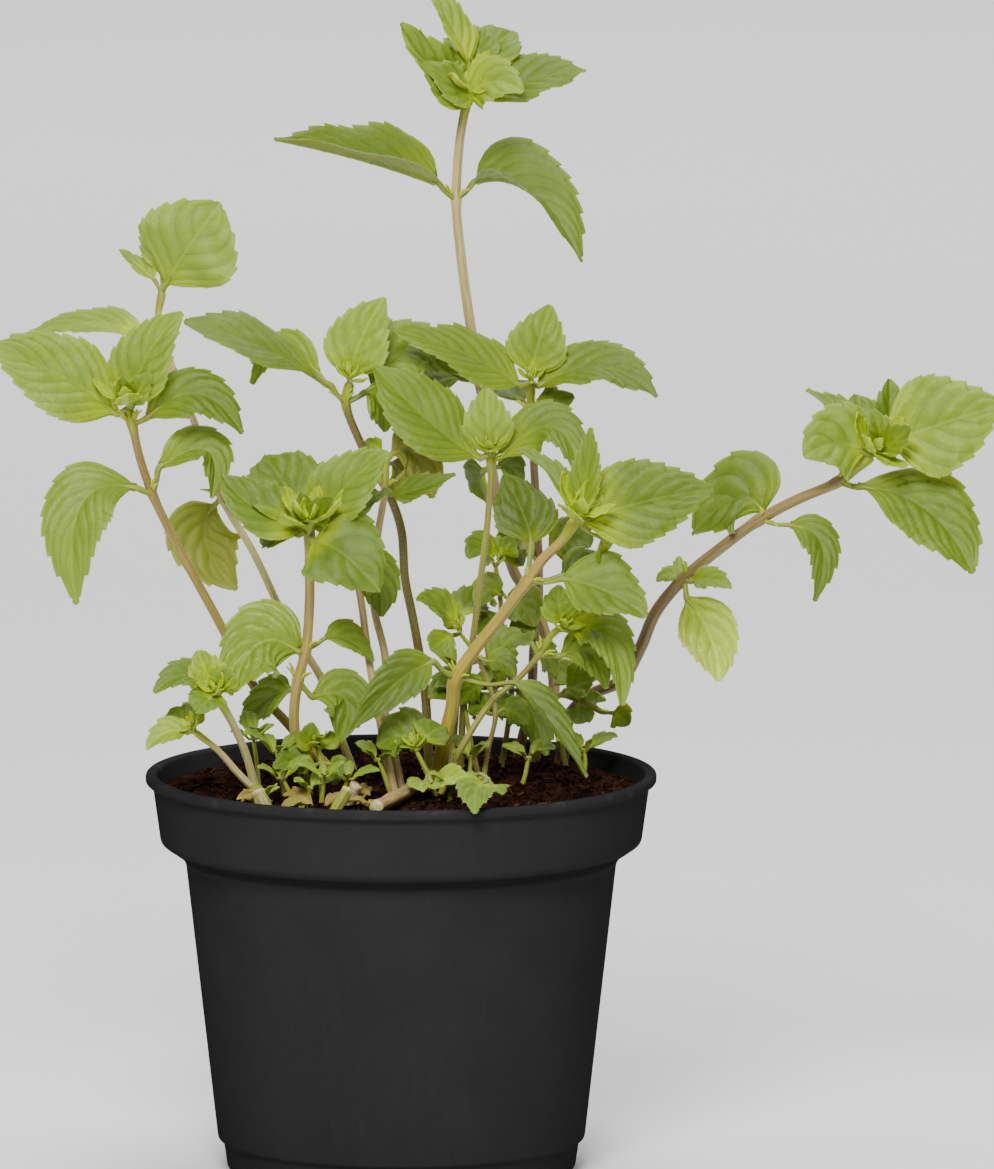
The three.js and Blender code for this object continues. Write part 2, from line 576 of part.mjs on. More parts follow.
/** The blade's midrib: a curve through its base, its middle and its tip. */
function midribOf(base, middle, tip) {
  const pull = middle.clone().multiplyScalar(2)
    .addScaledVector(base, -0.5)
    .addScaledVector(tip, -0.5);
  return new THREE.QuadraticBezierCurve3(base, pull, tip);
}

/**
 * A leaf as one thin solid: its stalk, from `node` in the stem, and its saw-toothed
 * blade, folded up by `fold` degrees on each side of the midrib. `faces` is the way
 * that its upper side looks.
 */
function leafSolid(node, [, base, middle, tip, width, faces, fold, widestAt = WIDEST_AT]) {
  const midrib = midribOf(vector(base), vector(middle), vector(tip));
  const teeth = Math.min(
    MOST_TEETH,
    Math.max(FEWEST_TEETH, Math.round(midrib.getLength() / TOOTH_LENGTH)),
  );
  const lift = THREE.MathUtils.degToRad(fold);
  const points = [];
  const triangles = [];

  // A pair of points, one on each face, `reach` to the side of `centre`.
  const pair = (centre, along, side, reach, half) => {
    const across = new THREE.Vector3().crossVectors(along, vector(faces)).normalize();
    const up = new THREE.Vector3().crossVectors(across, along);
    const out = across.clone().multiplyScalar(side * Math.cos(lift));
    out.addScaledVector(up, Math.sin(lift));
    const normal = new THREE.Vector3().crossVectors(out, along).multiplyScalar(side);
    if (side === 0) normal.copy(up);
    const point = centre.clone().addScaledVector(out, reach);
    points.push(point.clone().addScaledVector(normal, half), point.addScaledVector(normal, -half));
    return points.length - 2;
  };
  const onBlade = (t, side, reach) => (
    pair(midrib.getPoint(t), midrib.getTangent(t), side, reach, BLADE_THICKNESS / 2)
  );
  const face = (a, b, c) => {
    triangles.push(a, b, c);
    triangles.push(a + 1, c + 1, b + 1);
  };
  const rim = (a, b) => {
    triangles.push(a, a + 1, b);
    triangles.push(b, a + 1, b + 1);
  };

  const stalk = vector(base).sub(node).normalize();
  const root = pair(node, stalk, 0, 0, STALK_RADIUS);
  const tipPair = onBlade(1, 0, 0);
  const ribs = [];
  for (let k = 0; k < teeth; k += 1) ribs.push(onBlade(k / teeth, 0, 0));

  for (const side of [-1, 1]) {
    const rootEdge = pair(node, stalk, side, STALK_RADIUS, STALK_RADIUS);
    const edge = [];
    for (let k = 0; k < teeth; k += 1) {
      const notch = (width / 2) * NOTCH_RATIO * outline(k / teeth, widestAt);
      const point = (k + (k === 0 ? SHOULDER_AT : TOOTH_AT)) / teeth;
      const tooth = (width / 2) * outline(point, widestAt);
      edge.push(onBlade(k / teeth, side, Math.max(notch, STALK_RADIUS)));
      edge.push(onBlade(point, side, tooth));
    }
    const turn = side === 1 ? (a, b, c) => face(a, b, c) : (a, b, c) => face(a, c, b);
    const wall = side === 1 ? (a, b) => rim(a, b) : (a, b) => rim(b, a);
    turn(root, rootEdge, edge[0]);
    turn(root, edge[0], ribs[0]);
    wall(root, rootEdge);
    wall(rootEdge, edge[0]);
    for (let k = 0; k < teeth; k += 1) {
      const [notch, tooth] = [edge[2 * k], edge[2 * k + 1]];
      const next = edge[2 * k + 2] ?? tipPair;
      if (next === tipPair) {
        turn(ribs[k], notch, tooth);
        turn(ribs[k], tooth, next);
      } else {
        turn(ribs[k], notch, next);
        turn(ribs[k], next, ribs[k + 1]);
        turn(notch, tooth, next);
      }
      wall(notch, tooth);
      wall(tooth, next);
    }
  }
  return solidOf(geometryFrom(points, triangles));
}

function shootSolid(shoot) {
  const leaves = shoot.leaves.map((leaf) => leafSolid(vector(shoot.stem[leaf[0]]), leaf));
  return fuse([stemSolid(shoot), ...leaves]);
}

// ---------------------------------------------------------------- pot and soil

/** Height of the soil's top surface. */
function soilHeight(x, y) {
  const share = Math.min(Math.hypot(x, y) / SOIL_EDGE_RADIUS, 1);
  const inwards = 1 - share ** 4;
  const waves = SOIL_WAVES.map(({ alongX, alongY, height }) => (
    height * Math.sin(alongX * x + alongY * y)
  ));
  const relief = waves.reduce((sum, wave) => sum + wave);
  return SOIL_EDGE + (SOIL_TOP - SOIL_EDGE + relief) * inwards;
}

function latheAboutZ(profile) {
  const points = profile.map(([radius, height]) => new THREE.Vector2(radius, height));
  return new THREE.LatheGeometry(points, ROUND_SEGMENTS).rotateX(Math.PI / 2);
}

function drainHole(index) {
  const turn = ((index + 0.5) * 2 * Math.PI) / DRAIN_HOLES;
  const length = 4 * FLOOR_THICKNESS;
  const hole = new THREE.CylinderGeometry(DRAIN_RADIUS, DRAIN_RADIUS, length, DRAIN_SEGMENTS);
  hole.rotateX(Math.PI / 2);
  hole.translate(DRAIN_CIRCLE_RADIUS * Math.cos(turn), DRAIN_CIRCLE_RADIUS * Math.sin(turn), 0);
  return solidOf(hole);
}

/**
 * The line of the pot's wall from the foot up to the band's top, moved inwards by
 * `inset`. The line starts at the height `floor`.
 */
function wallLine(inset, floor) {
  return [
    [FOOT_BOTTOM_RADIUS - inset, floor],
    [FOOT_TOP_RADIUS - inset, FOOT_HEIGHT - POT_ROUNDING],
    [WALL_BOTTOM_RADIUS - inset, FOOT_HEIGHT + 0.5 * inset],
    [WALL_TOP_RADIUS - inset, WALL_TOP + 0.2 * inset],
    [SHOULDER_RADIUS - inset, SHOULDER_BOTTOM + 0.8 * inset],
    [BAND_BOTTOM_RADIUS - inset, BAND_BOTTOM + 0.8 * inset],
  ];
}

function potSolid() {
  const inside = wallLine(POT_WALL, FLOOR_THICKNESS).reverse();
  let pot = solidOf(latheAboutZ([
    [0, 0],
    [FOOT_BOTTOM_RADIUS - POT_ROUNDING, 0],
    ...wallLine(0, POT_ROUNDING),
    [BAND_TOP_RADIUS, POT_HEIGHT - LIP_HEIGHT],
    [LIP_RADIUS, POT_HEIGHT - LIP_HEIGHT + POT_ROUNDING],
    [LIP_RADIUS, POT_HEIGHT - POT_ROUNDING],
    [LIP_RADIUS - POT_ROUNDING, POT_HEIGHT],
    [BAND_TOP_RADIUS - POT_WALL, POT_HEIGHT],
    ...inside,
    [0, FLOOR_THICKNESS],
  ]));
  for (let index = 0; index < DRAIN_HOLES; index += 1) pot = pot.subtract(drainHole(index));
  return pot;
}

/** The block of soil before the stems' holes are made, with its uneven top. */
function soilBlock() {
  const underside = FLOOR_THICKNESS + CLEARANCE;
  const block = latheAboutZ([
    [0, underside],
    ...wallLine(POT_WALL + CLEARANCE, underside),
    [SOIL_EDGE_RADIUS, SOIL_EDGE - 1],
    ...SOIL_RINGS.map((share) => [share * SOIL_EDGE_RADIUS, SOIL_EDGE]),
  ]);
  const position = block.attributes.position;
  for (let i = 0; i < position.count; i += 1) {
    if (position.getZ(i) > SOIL_EDGE - 0.5) {
      position.setZ(i, soilHeight(position.getX(i), position.getY(i)));
    }
  }
  return solidOf(block);
}

/** The hole that a stem stands in: the stem's own course, wider by the clearance. */
function rootHole(points, radii) {
  const wide = radii.map((radius) => radius + CLEARANCE);
  const deeper = points[0].clone().sub(points[1]).normalize();
  const course = points.map((point) => point.clone());
  course[0].addScaledVector(deeper, CLEARANCE);
  return solidOf(limb(course, wide, STEM_SIDES));
}

function soilSolid() {
  let soil = soilBlock();
  for (const shoot of SHOOTS) {
    const { points, radii } = stemRings(shoot);
    soil = soil.subtract(rootHole(points.slice(0, ROOT_RINGS), radii.slice(0, ROOT_RINGS)));
  }
  for (const cut of CUT_STEMS) {
    soil = soil.subtract(rootHole(cut.path.map(vector), cut.path.map(() => cut.radius)));
  }
  return oneBody(soil);
}

function cutStemSolid({ path, radius }) {
  return solidOf(limb(path.map(vector), path.map(() => radius), STEM_SIDES));
}

// ---------------------------------------------------------------- the plant in its pot

function named(name, solid, look) {
  const mesh = new THREE.Mesh(geometryOf(solid), look);
  mesh.name = name;
  return mesh;
}

const pottedMint = new THREE.Group();
pottedMint.add(named("pot", potSolid(), blackPlastic));
pottedMint.add(named("soil", soilSolid(), wetPeat));
for (const shoot of SHOOTS) pottedMint.add(named(shoot.name, shootSolid(shoot), mintGreen));
for (const cut of CUT_STEMS) pottedMint.add(named(cut.name, cutStemSolid(cut), oldStem));

export default pottedMint;
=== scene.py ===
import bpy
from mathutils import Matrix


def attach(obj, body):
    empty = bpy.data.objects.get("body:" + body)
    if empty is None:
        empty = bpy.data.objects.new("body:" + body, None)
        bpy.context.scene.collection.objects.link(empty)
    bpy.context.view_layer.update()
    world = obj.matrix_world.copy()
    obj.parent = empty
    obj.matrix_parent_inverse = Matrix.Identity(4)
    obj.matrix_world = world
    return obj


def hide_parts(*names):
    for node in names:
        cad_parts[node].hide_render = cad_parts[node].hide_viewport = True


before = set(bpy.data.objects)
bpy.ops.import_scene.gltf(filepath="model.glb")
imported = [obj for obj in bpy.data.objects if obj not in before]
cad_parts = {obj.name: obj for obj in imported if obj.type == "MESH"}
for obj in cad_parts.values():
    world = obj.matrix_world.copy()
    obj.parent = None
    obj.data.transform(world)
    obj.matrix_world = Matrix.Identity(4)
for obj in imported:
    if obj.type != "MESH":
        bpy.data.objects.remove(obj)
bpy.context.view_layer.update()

# A potted mint plant. Lengths in the tables are millimetres, in the part's own frame:
# +Z up from the centre of the pot's underside, and the front looks towards -Y.

import math
import random
from collections import namedtuple

import bpy
import bmesh
import numpy as np
from mathutils import Vector

MM = 0.001
UP = np.array([0.0, 0.0, 1.0])
rng = random.Random(20)
draws = np.random.default_rng(21)

# ---- sizes

POT_HEIGHT = 102.0
POT_WALL = 1.3
POT_SEGMENTS = 180
LIP_RADIUS = 65.0
LIP_HEIGHT = 2.8
BAND_TOP_RADIUS = 63.3
BAND_BOTTOM_RADIUS = 61.2
BAND_BOTTOM = 84.5
SHOULDER_RADIUS = 56.0
SHOULDER_BOTTOM = 81.0
WALL_TOP_RADIUS = 54.8
WALL_TOP = 79.0
WALL_BOTTOM_RADIUS = 46.8
FOOT_HEIGHT = 8.2
FOOT_TOP_RADIUS = 45.4
FOOT_BOTTOM_RADIUS = 44.4
FOOT_BEVEL = 1.0
CORNER_ROUNDING = 0.9
FLOOR_THICKNESS = 1.6
DRAIN_HOLES = 6
DRAIN_RADIUS = 3.6
DRAIN_CIRCLE_RADIUS = 29.0
DRAIN_CUT_DEPTH = 8.0

SOIL_EDGE = 97.2
SOIL_TOP = 99.2
SOIL_EDGE_RADIUS = 60.85
SOIL_CLEARANCE = 0.35
SOIL_WAVES = ((0.21, 0.17, 0.7), (-0.26, 0.37, 0.4))  # per mm along x and y, and height
SOIL_RINGS, SOIL_SIDES = 96, 300
CRUMBS = 1500
CRUMB_FIELD_RADIUS = 59.5
CRUMB_RADIUS, LARGEST_CRUMB = 0.42, 2.0
FIBRES = 300
FIBRE_FIELD_RADIUS = 57.5
FIBRE_LIMIT_RADIUS = 59.0
FIBRE_LENGTHS = (2.0, 6.5)
FIBRE_RADII = (0.08, 0.22)

ROOT_DEPTH = 9.0
STEM_SLIMNESS = 0.86  # how thick a stem is beside the radii in its row
STEM_SIDES = 16
JOINT_SWELL, JOINT_REACH = 0.22, 2.0  # share of the radius, and mm along the stem
CROWN_SWELL, CROWN_REACH = 0.35, 3.5
STALK_RADIUS, SMALL_STALK_RADIUS = 0.85, 0.62
SMALL_LEAF, TINY_LEAF = 13, 10  # widths

# A blade. Shares are of its length, or of the way from its midrib to its edge.
WIDEST_AT = 0.36
BUD_WIDEST_AT = 0.42
BASE_FULLNESS = 1.15
TIP_FULLNESS = 0.72
TEETH_FROM, TEETH_TO = 0.10, 0.975
TOOTH_RISE, TOOTH_FALL = 0.8, 0.2  # the long and the short side of a tooth
TOOTH_DEPTH = 0.15  # share of the tooth's length
VEIN_SPACING = 5.6
VEIN_LEAN = 0.40  # how far along the blade a side vein gets on its way to the edge
VEIN_BEND = 0.12  # the same, close to the edge
VEIN_SINK, VEIN_WIDTH = 0.26, 0.34
MIDRIB_SINK, MIDRIB_WIDTH = 0.30, 0.65
QUILT_HEIGHT = 0.92
UNEVENNESS = 0.016  # share of the blade's width
FLUTTER = 0.030  # the same
BLADE_THICKNESS = 0.30
RIB_AT_BASE, RIB_AT_TIP = 0.75, 0.2
SIDE_RIB, SIDE_RIB_WIDTH = 0.14, 0.40
FULL_WIDTH = 22.0  # of a blade whose veins are as deep as given here
HAIR_RADIUS = 0.05
HAIR_LENGTHS = (0.35, 0.85)
HAIR_SHARE = 0.35  # of the places where one may grow

# ---- the shoots

# thick: the stem's radius at the soil and at the top. stem: the points it runs through.
# leaves: (stem point it grows from, base of its blade, middle of its midrib, tip, width,
# the way its upper side faces, fold in degrees, and what is unusual about it: settings of
# leaf(), or how light or brown it is).
# tone, pink: the stem's colours, and how pink it is. light: how light the leaves are, partly their own
# tone and partly painted light, as leaves lying in shade were made lighter.
# bud: length of the young leaves in the middle of the crown, or 0 for none.
# tufts: side shoots at the soil: x, y, lean, height, length of their leaves, how light.
Shoot = namedtuple(
    "Shoot", "thick stem leaves tone pink light bud tufts", defaults=("green", 0.15, 0.5, 0, ()))

SHOOTS = {}
SHOOTS["shoot_tall"] = Shoot(
    thick=(1.9, 1.3), tone="pale", pink=0.1, light=0.5, bud=11.0,
    stem=(
        (34, 40, 100), (37, 39, 111), (39, 39, 117), (37, 37, 131), (33, 35, 142), (29, 34, 148),
        (25, 31, 164), (20, 26, 199), (17, 21, 218), (15, 17, 234), (14, 13, 247), (15, 10, 263),
        (17, 8, 274),
    ),
    leaves=(
        (7, (15, 25, 200), (3, 21, 205), (-8, 17, 207), 22, (0.2, -0.65, 0.75), 20,
         dict(light=0.35, quilt=0.6)),
        (10, (9, 10, 252), (-10, 2, 259), (-32, -8, 265), 26, (0.1, -0.36, 0.92), 36,
         dict(widest=0.26, light=0.35, quilt=0.6)),
        (10, (19, 12, 252), (33, 6, 250), (46, -4, 233), 29, (0.45, -0.42, 0.78), 32,
         dict(widest=0.28, light=0.45, quilt=0.7, young=0.0)),
        (12, (15, 6, 274), (8, 1, 282), (0, -4, 294), 20, (0.4, -0.68, 0.6), 24,
         dict(widest=0.26, light=0.75)),
        (12, (20, 7, 275), (34, 5, 279), (47, 4, 281), 18, (0.05, -0.62, 0.78), 12, dict(light=0.4)),
        (12, (17, 3, 274), (23, -3, 279), (31, -9, 277), 15, (-0.1, -0.85, 0.5), 10,
         dict(light=1.0, young_to=0.6)),
        (12, (17, 9, 282), (12, 10, 293), (4, 12, 304), 14, (0.8, -0.55, 0.3), 25,
         dict(light=0.9, young_to=0.6)),
        (12, (20, 11, 280), (24, 16, 286), (29, 21, 289), 18, (-0.2, -0.75, 0.6), 18),
        (12, (19, 11, 281), (20, 15, 286), (21, 19, 290), 12, (0, -0.9, 0.45), 20),
        (12, (18, 12, 283), (15, 17, 285), (11, 24, 287), 9, (0.3, -0.7, 0.6), 20),
    ),
)
SHOOTS["shoot_upright_back"] = Shoot(
    thick=(1.6, 1.1), tone="brown", pink=0.25, light=0.35, bud=5.0,
    stem=(
        (30, 46, 100), (33, 45, 114), (34, 43, 130), (35, 40, 140), (35, 34, 152), (34, 23, 174),
        (33, 15, 192), (33, 12, 200),
    ),
    leaves=(
        (4, (32, 30, 154), (28, 24, 157), (30, 21, 161), 12, (0, -0.8, 0.5), 15),
        (4, (38, 30, 155), (44, 27, 158), (48, 25, 156), 14, (0.2, -0.8, 0.5), 15),
        (7, (33, 11, 203), (35, 11, 211), (38, 14, 220), 17, (0, -0.95, 0.3), 18,
         dict(light=0.9, young=0.6)),
        (7, (30, 10, 200), (15, 6, 209), (-2, 2, 215), 18, (0.1, -0.66, 0.74), 12,
         dict(light=0.75, young=0.3)),
        (7, (35, 10, 200), (51, 6, 205), (65, 0, 198), 18, (0.1, -0.55, 0.8), 18,
         dict(light=0.4, young=0.4)),
        (6, (31, 18, 195), (28, 24, 197), (26, 30, 199), 12, (0.2, -0.8, 0.5), 15),
        (6, (34, 14, 195), (38, 12, 195), (44, 12, 197), 12, (0, -0.8, 0.5), 15),
    ),
)
SHOOTS["shoot_middle"] = Shoot(
    thick=(1.1, 0.9), tone="green", pink=0.05, light=0.45, bud=5.0,
    stem=(
        (15, 17, 100), (16, 13, 119), (18, 9, 133), (20, 6, 149), (22, 3, 166), (23, 0, 181),
        (23, -1, 184),
    ),
    leaves=(
        (6, (23, -2, 184), (22, -4, 193), (22, -3, 201), 14, (0, -0.98, 0.2), 15,
         dict(light=1.15, young=0.5)),
        (6, (20, -2, 183), (8, -5, 192), (-7, -5, 207), 21, (0.3, -0.82, 0.48), 16,
         dict(widest=0.52, light=0.65, young=0.5)),
        (6, (25, -1, 183), (39, -4, 191), (45, -10, 178), 15, (0.3, -0.75, 0.6), 15,
         dict(light=0.55, young=0.5)),
        (5, (21, 3, 179), (20, 8, 175), (22, 13, 169), 13, (-0.5, -0.75, 0.2), 12),
        (5, (25, 3, 180), (28, 6, 179), (31, 9, 174), 12, (0.5, -0.75, 0.3), 12),
        (1, (15, 12, 119), (12, 9, 122), (7, 6, 120), 13, (0, -0.85, 0.5), 12),
    ),
)
SHOOTS["shoot_front"] = Shoot(
    thick=(2.4, 1.4), tone="yellow", pink=0.25, light=0.45, bud=11.0,
    stem=(
        (9, -9, 100), (11, -14, 112), (13, -17, 121), (14, -20, 129), (19, -22, 137),
        (25, -25, 145), (32, -28, 155), (36, -30, 161), (41, -31, 166), (44, -32, 171),
    ),
    leaves=(
        (3, (8, -24, 134), (-1, -27, 129), (-12, -30, 118), 14, (0.2, -0.85, 0.5), 25),
        (3, (29, -21, 128), (37, -25, 120), (47, -30, 105), 12, (0.6, -0.6, 0.5), 35),
        (6, (33, -24, 164), (31, -19, 171), (26, -12, 180), 18, (0.1, -0.9, 0.4), 22, dict(light=0.15)),
        (6, (41, -30, 156), (52, -32, 153), (62, -35, 147), 21, (0.15, -0.75, 0.62), 18,
         dict(light=0.65)),
        (6, (41, -24, 156), (48, -21, 157), (56, -18, 154), 13, (0.2, -0.7, 0.7), 15,
         dict(light=0.3, young=0.0)),
        (9, (45, -33, 173), (47, -34, 184), (48, -34, 195), 10, (-0.2, -0.95, 0.2), 30,
         dict(light=0.7, young_to=0.6)),
        (9, (46, -32, 171), (62, -32, 176), (79, -32, 179), 24, (0.05, -0.9, 0.4), 15,
         dict(light=0.5, quilt=1.2, young=1.0, young_to=0.45)),
        (9, (43, -31, 172), (38, -27, 182), (29, -23, 188), 9, (0.55, -0.6, 0.6), 38,
         dict(light=0.6, young_to=0.5)),
        (9, (51, -30, 166), (51, -27, 162), (50, -22, 159), 7, (0.3, -0.8, 0.5), 15),
    ),
)
SHOOTS["shoot_arching"] = Shoot(
    thick=(2.1, 1.5), tone="brown", pink=0.2, light=0.6, bud=11.0,
    stem=(
        (41, 36, 100), (43, 36, 111), (49, 34, 117), (56, 30, 121), (61, 26, 130), (65, 22, 140),
        (72, 19, 149), (81, 16, 157), (91, 12, 165), (101, 8, 171), (111, 4, 176), (119, 0, 183),
    ),
    leaves=(
        (6, (71, 19, 149), (68, 20, 150), (65, 21, 148), 6, (0, -0.7, 0.7), 15, dict(light=0.9)),
        (6, (72, 21, 150), (71, 23, 152), (71, 25, 154), 4, (0, -0.9, 0.4), 15, dict(light=0.9)),
        (6, (74, 14, 149), (79, 11, 150), (84, 8, 148), 8, (0, -0.75, 0.6), 15,
         dict(light=1.0, gloss=0.6, quilt=0.5)),
        # Painted sheen: this glossy hanging leaf's high light value paints its shine into its colour.
        (6, (73, 18, 144), (79, 15, 134), (81, 15, 123), 16, (0.1, -0.92, 0.35), 10,
         dict(light=2.6, gloss=1.0, quilt=1.8, young=0.0)),
        (8, (92, 14, 167), (85, 17, 170), (74, 20, 160), 26, (-0.2, -0.75, 0.6), 14, dict(light=0.35)),
        (8, (99, 11, 164), (107, 8, 159), (105, 5, 145), 11, (0.35, -0.9, 0.3), 12, dict(light=0.4)),
        (11, (118, -1, 184), (110, -5, 187), (102, -9, 184), 22, (-0.1, -0.9, 0.4), 15, dict(light=0.85)),
        (11, (118, 3, 185), (112, 9, 192), (103, 16, 198), 12, (0.4, -0.5, 0.7), 30),
        (11, (121, 5, 185), (118, 14, 190), (116, 22, 196), 16, (0.1, -0.8, 0.5), 18),
        (11, (124, -1, 187), (138, -2, 192), (153, -3, 197), 28, (0, -0.92, 0.4), 12,
         dict(light=0.95, quilt=1.3)),
        (11, (123, 2, 187), (124, 4, 194), (124, 7, 202), 12, (0.2, -0.95, 0.2), 25),
        (11, (121, -3, 186), (121, -7, 191), (119, -8, 196), 9, (0.1, -0.95, 0.3), 22),
        (11, (122, -4, 185), (126, -9, 189), (129, -12, 192), 9, (0, -0.9, 0.4), 22),
        (10, (116, 2, 175), (133, -3, 170), (145, -8, 154), 23, (0.3, -0.8, 0.5), 15,
         dict(widest=0.5, light=0.6)),
    ),
)
SHOOTS["shoot_left_of_middle"] = Shoot(
    thick=(1.4, 1.2), tone="olive", pink=0.15, light=0.5, bud=6.0,
    stem=(
        (7, 12, 103), (6, 11, 121), (3, 10, 140), (1, 10, 150), (0, 9, 163), (-3, 8, 172),
        (-7, 7, 179), (-10, 6, 185), (-14, 5, 196), (-13, 4, 201),
    ),
    leaves=(
        (9, (-13, 4, 203), (-10, 3, 213), (-4, 5, 223), 18, (-0.15, -0.95, 0.25), 18,
         dict(light=1.15, young=0.5)),
        (8, (-18, 3, 201), (-35, -1, 211), (-55, -3, 218), 23, (0, -0.42, 0.9), 10,
         dict(widest=0.6, light=0.45, young=0.2)),
        (8, (-9, 5, 199), (-5, 7, 195), (-4, 9, 188), 12, (0.4, -0.8, 0.4), 15, dict(light=0.8)),
        (8, (-7, 9, 200), (3, 13, 209), (15, 15, 202), 20, (0.05, -0.75, 0.65), 10,
         dict(light=0.75, young=0.1)),
        (8, (-21, 11, 203), (-31, 16, 208), (-38, 18, 199), 12, (-0.3, -0.7, 0.5), 20, dict(light=0.85)),
    ),
)
SHOOTS["shoot_brown_leaved"] = Shoot(
    thick=(1.3, 1.0), tone="pale", pink=0.35, light=0.3,
    stem=(
        (0, -11, 100), (-2, -8, 109), (-4, -6, 118), (-4, -4, 132), (-7, -2, 146), (-6, -1, 162),
        (-4, -2, 175), (-4, -3, 182),
    ),
    leaves=(
        (7, (-2, -1, 184), (4, 0, 183), (8, 1, 172), 17, (0.1, -0.9, 0.4), 12,
         dict(light=0.8, brown=0.35, young=0.0)),
        (7, (-2, 2, 181), (0, 5, 177), (1, 6, 170), 12, (0.2, -0.85, 0.4), 15,
         dict(light=0.5, brown=0.3, young=0.0)),
        (7, (-5, -2, 185), (-7, 0, 186), (-9, 2, 187), 5, (-0.3, -0.7, 0.6), 15),
        (6, (-2, -6, 174), (5, -9, 176), (14, -11, 180), 9, (0, -0.75, 0.65), 22, dict(light=0.4)),
        (6, (-5, -8, 175), (-7, -12, 175), (-10, -16, 171), 10, (-0.3, -0.75, 0.5), 22, dict(light=0.5)),
    ),
)
SHOOTS["shoot_behind_left"] = Shoot(
    thick=(1.3, 1.0), tone="pale", pink=0.4, light=0.45, bud=6.0,
    stem=(
        (-2, -16, 101), (-4, -14, 110), (-6, -12, 121), (-8, -11, 132), (-10, -10, 147),
        (-12, -9, 158), (-13, -9, 166),
    ),
    leaves=(
        (6, (-14, -10, 168), (-15, -11, 169), (-16, -13, 170), 6, (0, -0.8, 0.6), 15),
        (6, (-12, -9, 168), (-11, -9, 169), (-10, -9, 170), 6, (0, -0.8, 0.6), 15),
        (5, (-11, -8, 159), (-6, -7, 152), (-5, -8, 143), 14, (0.3, -0.9, 0.3), 15),
    ),
)
SHOOTS["shoot_left_front"] = Shoot(
    thick=(1.6, 1.4), tone="beige", pink=0.1, light=0.45, bud=12.0,
    stem=(
        (-24, -18, 101), (-26, -18, 110), (-27, -18, 119), (-26, -18, 128), (-24, -18, 136),
        (-23, -19, 149), (-23, -19, 158), (-23, -20, 167),
    ),
    leaves=(
        (7, (-24, -19, 168), (-30, -15, 179), (-35, -9, 184), 23, (0.2, -0.85, 0.5), 15, dict(light=0.5)),
        (7, (-25, -22, 167), (-37, -22, 173), (-45, -20, 181), 18, (0.2, -0.8, 0.6), 22, dict(light=0.5)),
        (7, (-21, -20, 169), (-13, -21, 179), (-3, -20, 187), 18, (-0.1, -0.9, 0.4), 20,
         dict(light=0.75)),
        (7, (-26, -21, 166), (-32, -18, 166), (-35, -14, 162), 13, (-0.1, -0.7, 0.7), 15),
        (7, (-22, -25, 165), (-14, -30, 162), (-5, -34, 153), 26, (0.1, -0.8, 0.6), 15, dict(light=0.45)),
        (7, (-23, -21, 168), (-24, -23, 172), (-25, -23, 177), 9, (0.1, -0.9, 0.4), 25),
        (7, (-22, -21, 168), (-20, -24, 172), (-17, -26, 176), 10, (-0.1, -0.85, 0.5), 25),
        (7, (-23, -23, 167), (-22, -28, 170), (-21, -33, 171), 8, (0, -0.5, 0.9), 20),
        (4, (-26, -19, 136), (-36, -21, 138), (-43, -23, 125), 22, (-0.1, -0.9, 0.45), 10,
         dict(light=1.0, quilt=1.6, gloss=0.5, young=0.0)),
        (4, (-19, -17, 139), (-13, -15, 138), (-7, -13, 132), 11, (0.3, -0.6, 0.6), 28, dict(light=0.75)),
        (3, (-22, -17, 124), (-14, -16, 123), (-16, -18, 112), 15, (0.2, -0.85, 0.5), 15),
        (3, (-28, -13, 125), (-34, -8, 122), (-41, -4, 115), 12, (0, -0.8, 0.6), 15, dict(light=0.7)),
    ),
)
SHOOTS["shoot_far_left"] = Shoot(
    thick=(1.5, 1.2), tone="golden", pink=0.2, light=0.68, bud=10.0,
    stem=(
        (-19, 5, 103), (-24, 5, 108), (-29, 4, 114), (-37, 3, 123), (-44, 1, 136), (-47, 0, 142),
        (-57, -2, 161), (-63, -4, 174), (-66, -5, 183), (-68, -6, 192), (-69, -6, 196),
    ),
    leaves=(
        (10, (-72, -7, 195), (-86, -10, 205), (-105, -12, 213), 24, (0.1, -0.85, 0.55), 12,
         dict(widest=0.42, light=0.9, quilt=1.2)),
        (10, (-68, -7, 197), (-64, -9, 210), (-55, -9, 221), 18, (-0.25, -0.9, 0.4), 18,
         dict(light=0.95)),
        (9, (-64, -6, 194), (-51, -8, 200), (-40, -10, 190), 16, (0.1, -0.75, 0.65), 15, dict(light=0.5)),
        (10, (-66, 6, 213), (-78, 10, 216), (-97, 13, 212), 13, (0, -0.4, 0.9), 15, dict(light=0.9)),
        (10, (-68, -9, 198), (-66, -12, 202), (-63, -13, 206), 8, (0, -0.9, 0.4), 22),
        (10, (-69, -9, 198), (-70, -12, 202), (-70, -13, 205), 7, (0, -0.9, 0.4), 22),
        (7, (-67, -7, 176), (-81, -13, 172), (-82, -15, 147), 20, (-0.3, -0.85, 0.45), 12,
         dict(widest=0.45, light=0.85, gloss=0.3, young=0.0)),
        (7, (-61, -4, 181), (-49, -4, 185), (-48, -6, 173), 15, (0.35, -0.55, 0.75), 28, dict(light=0.7)),
    ),
)
